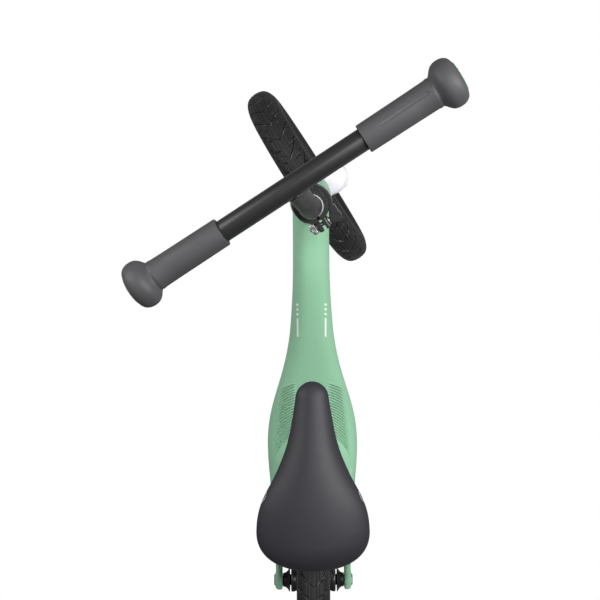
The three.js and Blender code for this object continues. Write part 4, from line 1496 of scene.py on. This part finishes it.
@dataclass
class Wheel:
    """One wheel: the grooved solid tyre, the spoked casting and its two bearings."""

    build: Build
    prefix: str
    place: Matrix
    body: str
    hub_half: float
    radius: float = 142.5
    seat: float = 99.5
    rim_half: float = 15.5
    rim_depth: float = 9.5
    lip: float = 5.5
    lip_thick: float = 2.7
    spokes: int = 6
    barrel: float = 20.0
    arches: int = 30
    groove: float = 2.0
    groove_brink: float = 1.35
    tooth: float = 5.2
    columns: int = 26
    seat_points: int = 7
    bearing_radius: float = 11.0
    bearing_width: float = 6.0

    def _section(self) -> np.ndarray:
        """Half of the tyre's section, from the middle of the tread to the bead.

        Returns:
            Rows of distance across and radius.
        """
        key = [(0, 142.5), (6, 142.1), (11, 140.4), (15.5, 137.2), (18.8, 132.6), (21.1, 127.0),
               (22.5, 121.5), (22.9, 116.5), (21.9, 111.8), (19.6, 108.4), (16.8, 106.4), (13.5, 105.6),
               (12.6, 104.0), (12.5, 99.6)]
        points = np.array(key, float)
        reach = np.concatenate([[0], np.cumsum(np.hypot(*np.diff(points, axis=0).T))])
        fine = np.concatenate([np.arange(0, 42, 0.95), np.linspace(42, reach[-1], 12)])
        rows = np.stack([reach, points[:, 0], points[:, 1]], 1)
        dense = flowing(rows, 400)
        across, radius = (np.interp(fine, dense[:, 0], dense[:, column]) for column in (1, 2))
        return np.stack([across, radius, fine], 1)

    def _tyre(self) -> bpy.types.Object:
        """The tyre, with arches, dashes, lines and a toothed shoulder cut into its surface."""
        half = self._section()
        left = half[1:][::-1] * np.array((-1, 1, -1))
        rows = np.concatenate([left, half])
        inner = np.array([(x, self.seat, 60 * np.sign(x)) for x in np.linspace(9, -9, self.seat_points)])
        rows = np.concatenate([rows, inner])
        across, radius, run = rows.T
        pitch = 2 * math.pi / self.arches
        cell = pitch * self.radius
        brink = self.groove_brink
        edge = np.array((-brink, -0.75, 0.75, brink)) / cell
        fill = np.linspace(brink / cell, 1 - brink / cell, self.columns - 2)[1:-1]
        local = np.concatenate([edge[edge >= 0], fill, 1 + edge[edge < 0]])
        share = (np.arange(self.arches)[:, None] + local[None]).ravel() / self.arches
        in_cell = np.tile(local, self.arches)
        bent = np.minimum(np.abs(run), 27)
        lag = (ARCH_LEAN * bent + ARCH_BEND * bent**2) / self.radius
        angle = share[:, None] * 2 * math.pi - lag[None]
        depth = np.zeros_like(angle)
        reach = np.abs(run)[None]
        from_arch = np.minimum(in_cell, 1 - in_cell)[:, None] * cell
        depth += (1 - smoothstep(from_arch, 0.7, brink)) * (1 - smoothstep(reach, 27, 31)) * self.groove
        round_at = angle * self.radius
        for centre, lean, near, far, offset in ((10.5, 0.42, 6.0, 14.0, 0.35), (19.0, 0.30, 16.0, 23.0, 0.8)):
            along = np.mod(round_at / cell * 1.5 + lean * (reach - centre) / cell * 1.5 + offset, 1.0)
            off = np.abs(along - 0.5) * cell / 1.5
            band = smoothstep(reach, near, near + 1.2) * (1 - smoothstep(reach, far, far + 1.2))
            depth = np.maximum(depth, (1 - smoothstep(off, 0.7, 1.5)) * band * self.groove)
        for line in (3.9, 8.4, 26.4):
            depth = np.maximum(depth, (1 - smoothstep(np.abs(reach - line), 0.3, 1.1)) * 0.8)
        teeth = 0.5 + 0.5 * np.cos(round_at * 2 * math.pi / self.tooth)
        shoulder = smoothstep(reach, 27.5, 28.3) * (1 - smoothstep(reach, 31.5, 32.5))
        depth = np.maximum(depth, teeth * shoulder * 0.7)
        normal = np.gradient(np.stack([across, radius], 1), axis=0)
        outward_x, outward_r = -normal[:, 1], normal[:, 0]
        length = np.hypot(outward_x, outward_r) + 1e-9
        depth[:, -self.seat_points:] = 0
        x = across[None] - depth * (outward_x / length)[None]
        r = radius[None] - depth * (outward_r / length)[None]
        rings = np.stack([x, r * np.cos(angle), r * np.sin(angle)], 2)
        piece = from_rings(f"{self.prefix}_tyre_tread", rings)
        self._unroll(piece, half)
        return piece

    def _unroll(self, piece: bpy.types.Object, half: np.ndarray) -> None:
        """Lay UVs on the tyre: arches along its round and millimetres from its middle."""
        mesh = piece.data
        points = points_of(piece)
        angle = np.arctan2(points[:, 2], points[:, 1])
        tread = half[: int(np.argmax(half[:, 0]))]
        across = np.interp(np.abs(points[:, 0]), tread[:, 0], tread[:, 2])
        across = np.where(np.hypot(points[:, 1], points[:, 2]) > 118, across, 60)
        corners = np.zeros(len(mesh.loops), np.int64)
        mesh.loops.foreach_get("vertex_index", corners)
        starts = np.zeros(len(mesh.polygons), np.int64)
        mesh.polygons.foreach_get("loop_start", starts)
        counts = np.diff(np.append(starts, len(corners)))
        turn = angle[corners]
        first = np.repeat(turn[starts], counts)
        turn = first + np.mod(turn - first + math.pi, 2 * math.pi) - math.pi
        layer = mesh.uv_layers.new(name="tread")
        unrolled = np.stack([turn / (2 * math.pi) * self.arches, across[corners]], 1)
        layer.data.foreach_set("uv", unrolled.ravel())

    def _casting(self) -> bpy.types.Object:
        """Rim, spokes and hub shell in one."""
        seat, half = self.seat - 0.3, self.rim_half
        well, lip, inner = half - self.lip_thick, self.seat + self.lip, self.seat - 0.3 - self.rim_depth
        rim = [(inner, -8), (inner, 8), (inner + 4, half), (lip - 0.8, half), (lip, half - 0.9),
               (lip, well + 0.4), (lip - 0.4, well), (seat, well), (seat, -well), (lip - 0.4, -well),
               (lip, -well - 0.4), (lip, -half + 0.9), (lip - 0.8, -half), (inner + 4, -half)]
        parts = [turned("rim", rim, 180, hollow=True)]
        hub, barrel = self.hub_half, self.barrel
        ends = [(16.6, hub), (17.5, hub - 0.8), (17.5, hub - 4.6), (16.4, hub - 6), (barrel - 4, hub - 8),
                (barrel, 12)]
        parts.append(turned("hub", [*((radius, -at) for radius, at in ends), *ends[::-1]]))
        for k in range(self.spokes):
            sizes = [(barrel - 5, 19, 9.2), (40, 14, 8.6), (62, 12, 8.0), (80, 14.5, 8.2),
                     (inner + 3, 24, 8.4)]
            rows = flowing(sizes, 30)
            u, v = super_ring(40, 3)
            out = np.repeat(rows[:, 0:1], 40, 1)
            ring = np.stack([u[None] * rows[:, 1:2] / 2, out, v[None] * rows[:, 2:3]], 2)
            spoke = from_rings("spoke", ring, close_ring=False)
            parts.append(shift(spoke, Matrix.Rotation(2 * math.pi * k / self.spokes, 4, "Z")))
        piece = joined(f"{self.prefix}_wheel_spider", parts)
        fused(piece, 1.15, 3)
        tools = [turned("bore", [(7.2, -hub - 2), (7.2, hub + 2)])]
        for way in (-1, 1):
            low, high = sorted((way * (hub - 6.8), way * (hub + 3)))
            pocket = self.bearing_radius + GAP
            tools.append(turned("pocket", [(pocket, low), (pocket, high)]))
        return shift(cut(piece, tools), outward(1))

    def make(self) -> None:
        """Model and place the wheel."""
        build, prefix = self.build, self.prefix
        # The tyre's finish carries pale arch edges, partly wear and partly painted highlight, and a painted
        # shoulder highlight.
        tyre_wear_and_highlight = build.paints.scuffed_and_highlit_tyre
        place, body = self.place, self.body
        build.finish(self._tyre(), place, body, "tyre_rubber", f"{prefix}_tyre", crease=60, material=tyre_wear_and_highlight)
        build.finish(self._casting(), place, body, "black_coat", f"{prefix}_wheel_casting", crease=50)
        for side, word in ((-1, "left"), (1, "right")):
            far = self.hub_half - 0.4
            low = far - self.bearing_width
            wide = self.bearing_radius
            profile = [(5.0, low), (wide, low), (wide, far), (10, far), (9.8, far - 0.5), (7.2, far - 0.5),
                       (7, far), (5.0, far)]
            race = soften(turned(f"{prefix}_bearing_{word}_race", profile, hollow=True), 0.2)
            build.finish(shift(race, outward(side)), place, body, "bright_steel", f"{prefix}_bearing_{word}")


@dataclass
class Axles:
    """Both axles with their nuts and spacers."""

    build: Build
    radius: float = 4.7
    across_flats: float = 15.0
    rear_hub: float = 32.6
    rear_inner: float = 45.0
    front_hub: float = 29.0
    front_inner: float = 35.5
    front_outer: float = 55.0
    well_floor: float = 7.3
    rear_nut: float = 5.4
    front_nut: float = 7.0

    def _axle(self, name: str, low: float, high: float) -> bpy.types.Object:
        """A plain rod with a cut thread at both ends."""
        r, pitch = self.radius, 1.0
        profile = [(r - 0.9, low)]
        profile += [(r - 0.55 * (k % 2), low + 0.8 + k * pitch / 2) for k in range(26)]
        profile += [(r - 0.55 * (k % 2), high - 0.8 - k * pitch / 2) for k in range(25, -1, -1)]
        profile.append((r - 0.9, high))
        return turned(name, profile, SMALL_ROUND)

    def _nut(self, name: str, low: float, high: float) -> bpy.types.Object:
        """A hexagon nut with its corners turned off and a rim around the hole."""
        corner = self.across_flats / math.sqrt(3)
        hexagon = turned(name, [(corner, low), (corner, high)], 6)
        chamfer = self.across_flats / 2 - 0.4
        skin = [(corner + 4, low - 2), (corner + 4, high + 2), (chamfer, high + 2), (chamfer, high),
                (corner + 1.2, high - 2.6), (corner + 1.2, low - 2)]
        skin = turned("skin", skin, hollow=True)
        hole = turned("hole", [(self.radius + 0.25, low - 2), (self.radius + 0.25, high + 2)])
        return soften(cut(hexagon, [skin, hole]), 0.3)

    def _spacer(self, name: str, hub: float, holder: float) -> bpy.types.Object:
        """The dust washer and cone between hub and dropout."""
        bore = self.radius + 0.3
        profile = [(bore, hub + 0.3), (8, hub + 0.3), (8, hub + 1.5), (17.2, hub + 1.9), (17.5, hub + 2.3),
                   (17.3, hub + 2.9)]
        run = holder - 0.3 - hub - 2.9
        steps = (0.08, 0.17, 0.27, 0.38, 0.5, 0.65, 0.82, 1)
        profile += [(10 + 7.3 * (1 - t) ** 2.6, hub + 2.9 + run * t) for t in steps]
        profile.append((bore, holder - 0.3))
        return soften(turned(name, profile, hollow=True), 0.3)

    def make(self) -> None:
        """Place the rear axle's pieces and then the front's."""
        build = self.build
        rear, front = build.places.rear_wheel, build.places.front_wheel
        nut_from = self.rear_inner + self.well_floor
        nut_to = nut_from + self.rear_nut
        half = nut_to - 1
        axle = shift(self._axle("rear_axle_rod", -half, half), outward(1))
        build.finish(axle, rear, "frame", "bright_steel", "rear_axle")
        for side, word in ((-1, "left"), (1, "right")):
            nut = shift(self._nut(f"rear_axle_nut_{word}_hex", nut_from, nut_to), outward(side))
            build.finish(nut, rear, "frame", "bright_steel", f"rear_axle_nut_{word}")
            cone = self._spacer(f"rear_spacer_{word}_cone", self.rear_hub, self.rear_inner)
            build.finish(shift(cone, outward(side)), rear, "frame", "dark_plastic", f"rear_spacer_{word}")
        outer = self.front_outer - 5.7
        inner = self.front_hub + 1.4
        axle = shift(self._axle("front_axle_rod", -inner - 6, outer + 6), outward(1))
        build.finish(axle, front, "front_fork", "bright_steel", "front_axle")
        nut = shift(self._nut("front_axle_nut_right_hex", outer, outer + self.front_nut), outward(1))
        build.finish(nut, front, "front_fork", "bright_steel", "front_axle_nut_right")
        nut = shift(self._nut("front_axle_nut_left_hex", inner, inner + self.front_nut), outward(-1))
        build.finish(nut, front, "front_fork", "bright_steel", "front_axle_nut_left")
        cone = shift(self._spacer("front_spacer_cone", self.front_hub, self.front_inner), outward(1))
        build.finish(cone, front, "front_fork", "dark_plastic", "front_spacer")


@dataclass
class Saddle:
    """The seat post, the saddle's shell and its padded cover."""

    build: Build
    post_radius: float = 13.4
    post_wall: float = 2.0
    post_top: float = 122.0
    post_length: float = 150.0
    rear: float = 53.0
    widest: float = 104.0
    nose: float = 292.0
    nose_start: float = 274.0
    floor: float = 371.3
    belt: float = 7.5
    crown: float = 31.0
    # Share of the length and of the crown's height.
    rise: tuple = ((0, 0.80), (0.08, 0.90), (0.18, 0.975), (0.32, 1.0), (0.48, 0.945), (0.62, 0.84),
                   (0.76, 0.72), (0.88, 0.63), (1, 0.57))
    # y and half width from the widest part to where the nose begins to round.
    flank: tuple = (
        (104, 71.5), (118, 70.4), (132.6, 67.2), (152.7, 58.8), (168, 50.4), (185.4, 42.2), (205.5, 34.4),
        (225.6, 28.9), (245.8, 25.2), (263.4, 22.2), (274, 20.7), (292, 18.4),
    )

    def _half_width(self, y: np.ndarray) -> np.ndarray:
        """The outline: a broad round tail, a waist and a narrow round nose."""
        rows = flowing(self.flank, 300)
        half = np.interp(y, rows[:, 0], rows[:, 1])
        tail = np.clip((self.widest - y) / (self.widest - self.rear), 0, 1)
        tip = np.clip((y - self.nose_start) / (self.nose - self.nose_start), 0, 1)
        return half * (1 - tail**2.3) ** (1 / 2.3) * np.sqrt(1 - tip**2)

    def _stations(self, count: int) -> np.ndarray:
        """Places along the saddle, close together at both ends."""
        t = np.linspace(0, math.pi, count)
        return self.rear + (self.nose - self.rear) * (1 - np.cos(t)) / 2

    def _cover(self) -> bpy.types.Object:
        """The pad: crowned and rolled under at its belt."""
        y = self._stations(170)
        around = 128
        half = np.maximum(self._half_width(y), 0.02)
        share = (y - self.rear) / (self.nose - self.rear)
        line = flowing(self.rise, 200)
        top = self.crown * np.interp(share, line[:, 0], line[:, 1]) - self.belt
        tail = np.clip((y - self.rear) / 34, 0, 1)
        nose = np.clip((self.nose - y) / 26, 0, 1)
        dome = (1 - (1 - tail) ** 2.4) ** 0.5 * (1 - (1 - nose) ** 2.2) ** 0.5
        angle = np.arange(around) / around * 2 * math.pi
        c, s = np.cos(angle), np.sin(angle)
        flat = np.sign(c) * np.abs(c) ** 0.93
        upper = 0.45 * np.abs(s) + 0.55 * s**2
        lower = np.abs(s) ** (2 / 3.4)
        x = half[:, None] * np.where(s[None] < 0, flat[None] * (1 - 0.07 * lower[None]), flat[None])
        high = top[:, None] * dome[:, None] * upper[None]
        low = -self.belt * (0.35 + 0.65 * dome[:, None]) * lower[None]
        z = self.floor + self.belt + np.where(s[None] >= 0, high, low)
        rings = np.stack([x, np.repeat(y[:, None], around, 1), z], 2)
        return from_rings("saddle_pad", rings, close_ring=False)

    def _shell(self) -> bpy.types.Object:
        """The plastic shell under the pad; the ribs and the post socket are joined to it afterwards."""
        y = self._stations(90)
        around = 96
        half = np.maximum(self._half_width(y) - 4.2, 0.02)
        angle = np.arange(around) / around * 2 * math.pi
        c, s = np.cos(angle), np.sin(angle)
        flat = np.sign(c) * np.abs(c) ** (2 / 3.2)
        tall = np.sign(s) * np.abs(s) ** (2 / 3.2)
        middle, thick = self.floor - 4.9, 4.3
        squash = (0.4 + 0.6 * np.sqrt(np.clip(half / 12, 0, 1)))[:, None]
        shrink = 1 - 0.06 * (s[None] < 0) * np.abs(s[None])
        x = half[:, None] * flat[None] * shrink
        z = middle + thick * tall[None] * squash
        yy = 172.5 + (np.repeat(y[:, None], around, 1) - 172.5) * 0.972
        return from_rings("shell", np.stack([x, yy, z], 2), close_ring=False)

    def make(self) -> None:
        """Model and place the saddle and its post."""
        build = self.build
        seat, bike = build.places.seat, build.places.bike
        to_mm = Matrix.Scale(1 / MM, 4)
        radius, bore = self.post_radius, self.post_radius - self.post_wall
        low, top = self.post_top - self.post_length, self.post_top
        marks = [(radius, low)]
        for k in range(7):
            at = low + 30 + k * 10
            deep = radius - 0.35
            marks += [(radius, at - 0.5), (deep, at - 0.3), (deep, at + 0.3), (radius, at + 0.5)]
        marks += [(radius, top), (bore, top), (bore, low)]
        piece = soften(turned("seat_post_tube", marks, hollow=True), 0.2)
        build.finish(piece, seat, "saddle", "bright_steel", "seat_post")
        pad = self._cover()
        skin = build.paints.marked_skin
        build.finish(pad, bike, "saddle", "saddle_skin", "saddle_cover", crease=180, material=skin)
        socket = turned("socket", [(radius + 5, top - 15), (radius + 6, top - 12), (radius + 6, top + 4)])
        shell = joined("saddle_shell", [self._shell(), shift(socket, to_mm @ seat)])
        for k in (-1, 1):
            rib = block("rib", (3, 128, 6), (k * 20, 150, self.floor - 9.5))
            shell = joined("saddle_shell", [shell, soften(rib, 1.0)])
        fused(shell, 1.0, 2)
        tool = turned("post room", [(radius + 0.3, top - 60), (radius + 0.3, top + 0.3)])
        ceiling = block("ceiling", (300, 400, 60), (0, 170, self.floor - 0.35 + 30))
        cut(shell, [shift(tool, to_mm @ seat), ceiling])
        build.finish(shell, bike, "saddle", "dark_plastic", "saddle_base", crease=45)
        for word in ("front", "rear"):
            low_corner, high_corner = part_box(f"saddle_bolt_{word}")
            middle = (low_corner + high_corner) / 2 / MM
            head_low = low_corner.z / MM
            steps = ((5.2, 0), (5.5, 0.5), (5.5, 3.4), (3, 3.5), (3, 8.3))
            bolt = turned(f"saddle_bolt_{word}_screw", [(wide, head_low + up) for wide, up in steps], 64)
            key = turned("key", [(2.9, head_low - 1), (2.9, head_low + 2.2)], 6)
            soften(cut(bolt, [key]), 0.2)
            place = bike @ moved(middle.x, middle.y)
            build.finish(bolt, place, "saddle", "bright_steel", f"saddle_bolt_{word}")
        sleeve = [(13.8, -6), (15.4, -6), (15.4, 72.8), (15.9, 73.5), (13.8, 73.5)]
        piece = soften(turned("seat_tube_liner", sleeve, hollow=True), 0.15)
        build.finish(piece, seat, "frame", "dark_plastic", "seat_tube_sleeve")


@dataclass
class Studio:
    """The pale floor, the soft lights and the camera above the bike."""

    camera_place: tuple = (0.0, 0.290, 1.750)
    lens: float = 65.16
    tilt: float = 1.2
    roll: float = 0.4
    shift_x: float = -0.02
    nadir: float = 0.138

    def _floor(self) -> None:
        """A wide floor that shows plain white to the camera and a dim grey to everything else."""
        deselect()
        bpy.ops.mesh.primitive_plane_add(size=60, location=(0, 0.3, -0.0004))
        floor = bpy.context.object
        floor.name = "studio_floor"
        graph = Graph("studio_floor")
        graph.set(Base_Color=(0.35, 0.35, 0.35, 1), Roughness=0.9, Specular_IOR_Level=0.0)
        glow = graph.node("Emission", Color=(1, 1, 1, 1), Strength=1.0)
        seen = graph.node("LightPath").outputs["Is Camera Ray"]
        mix = graph.tree.nodes.new("ShaderNodeMixShader")
        graph.tree.links.new(seen, mix.inputs[0])
        graph.tree.links.new(graph.shader.outputs[0], mix.inputs[1])
        graph.tree.links.new(glow.outputs[0], mix.inputs[2])
        graph.tree.links.new(mix.outputs[0], graph.output.inputs["Surface"])
        floor.data.materials.append(graph.material)

    def _sky(self) -> None:
        """A white surround that lights the bike more softly than it looks."""
        world = bpy.data.worlds.new("studio")
        bpy.context.scene.world = world
        world.use_nodes = True
        tree = world.node_tree
        tree.nodes.clear()
        path = tree.nodes.new("ShaderNodeLightPath")
        mix = tree.nodes.new("ShaderNodeMixShader")
        out = tree.nodes.new("ShaderNodeOutputWorld")
        for slot, strength in ((1, 0.13), (2, 1.0)):
            glow = tree.nodes.new("ShaderNodeBackground")
            glow.inputs[0].default_value = (1, 1, 1, 1)
            glow.inputs[1].default_value = strength
            tree.links.new(glow.outputs[0], mix.inputs[slot])
        tree.links.new(path.outputs["Is Camera Ray"], mix.inputs[0])
        tree.links.new(mix.outputs[0], out.inputs[0])

    def _lamp(self, name: str, place: Sequence[float], aim: Sequence[float], size: Point,
              power: float) -> None:
        """One soft box.

        Args:
            name: the lamp's name.
            place: where it hangs, in metres.
            aim: the point that it faces.
            size: its two sides.
            power: watts.
        """
        light = bpy.data.lights.new(name, "AREA")
        light.shape = "RECTANGLE"
        light.size, light.size_y = size
        light.energy = power
        lamp = bpy.data.objects.new(name, light)
        lamp.location = place
        lamp.rotation_euler = (Vector(aim) - Vector(place)).to_track_quat("-Z", "Y").to_euler()
        bpy.context.scene.collection.objects.link(lamp)

    def make(self) -> None:
        """Set the stage."""
        scene = bpy.context.scene
        scene.view_settings.view_transform = "Standard"
        self._floor()
        self._sky()
        middle = (0, 0.3, 0.3)
        self._lamp("key", (0.90, 0.55, 1.45), (0, 0.42, 0.35), (0.6, 1.0), 24)
        self._lamp("overhead", (0.30, 0.70, 2.5), middle, (0.7, 0.7), 13)
        self._lamp("fill", (-1.0, 0.75, 1.05), (0, 0.45, 0.35), (0.5, 0.9), 10)
        data = bpy.data.cameras.new("camera")
        data.lens = self.lens
        data.sensor_width = 36
        data.shift_x = self.shift_x
        data.shift_y = self.nadir - self.lens / 36 * math.tan(math.radians(self.tilt))
        data.clip_start, data.clip_end = 0.05, 100
        camera = bpy.data.objects.new("camera", data)
        camera.location = self.camera_place
        roll = Matrix.Rotation(math.radians(-self.roll), 4, "Z")
        tilt = Matrix.Rotation(math.radians(self.tilt), 4, "X")
        camera.rotation_euler = (roll @ tilt).to_euler()
        scene.collection.objects.link(camera)
        scene.camera = camera


def dress_kept_nodes(paints: Paintbox) -> None:
    """Give every CAD node that still shows its finish.

    Args:
        paints: the finishes.
    """
    slots = {row["node"]: row["material_slot"] for row in frame["record"]["subparts"]}
    for name, node in frame["nodes"].items():
        if node.hide_render:
            continue
        node.data.materials.clear()
        node.data.materials.append(paints.materials[slots[name]])
        LOG.info("%-26s kept from the CAD", name)


def main() -> None:
    """Build the bike piece by piece, then the studio."""
    logging.basicConfig(level=logging.INFO, format="%(message)s")
    places = Places(frame["joints"])
    build = Build(places, Paintbox())
    FrameCasting(build).make()
    Headset(build).make()
    Fork(build).make()
    TeeBar(build).make()
    CamClamp(build, "bar_clamp", places.front, "front_fork", 324, 22, 15.0, 20.5, 1).make()
    CamClamp(build, "seat_clamp", places.seat, "frame", 54, 20, 17.0, 21.3, -1).make()
    Wheel(build, "rear", places.rear_wheel, "rear_wheel", 32.6).make()
    Wheel(build, "front", places.front_wheel, "front_wheel", 29.0).make()
    Axles(build).make()
    Saddle(build).make()
    dress_kept_nodes(build.paints)
    Studio().make()
    LOG.info("%d pieces made", build.made)
    deselect()


if __name__ == "__main__":
    main()
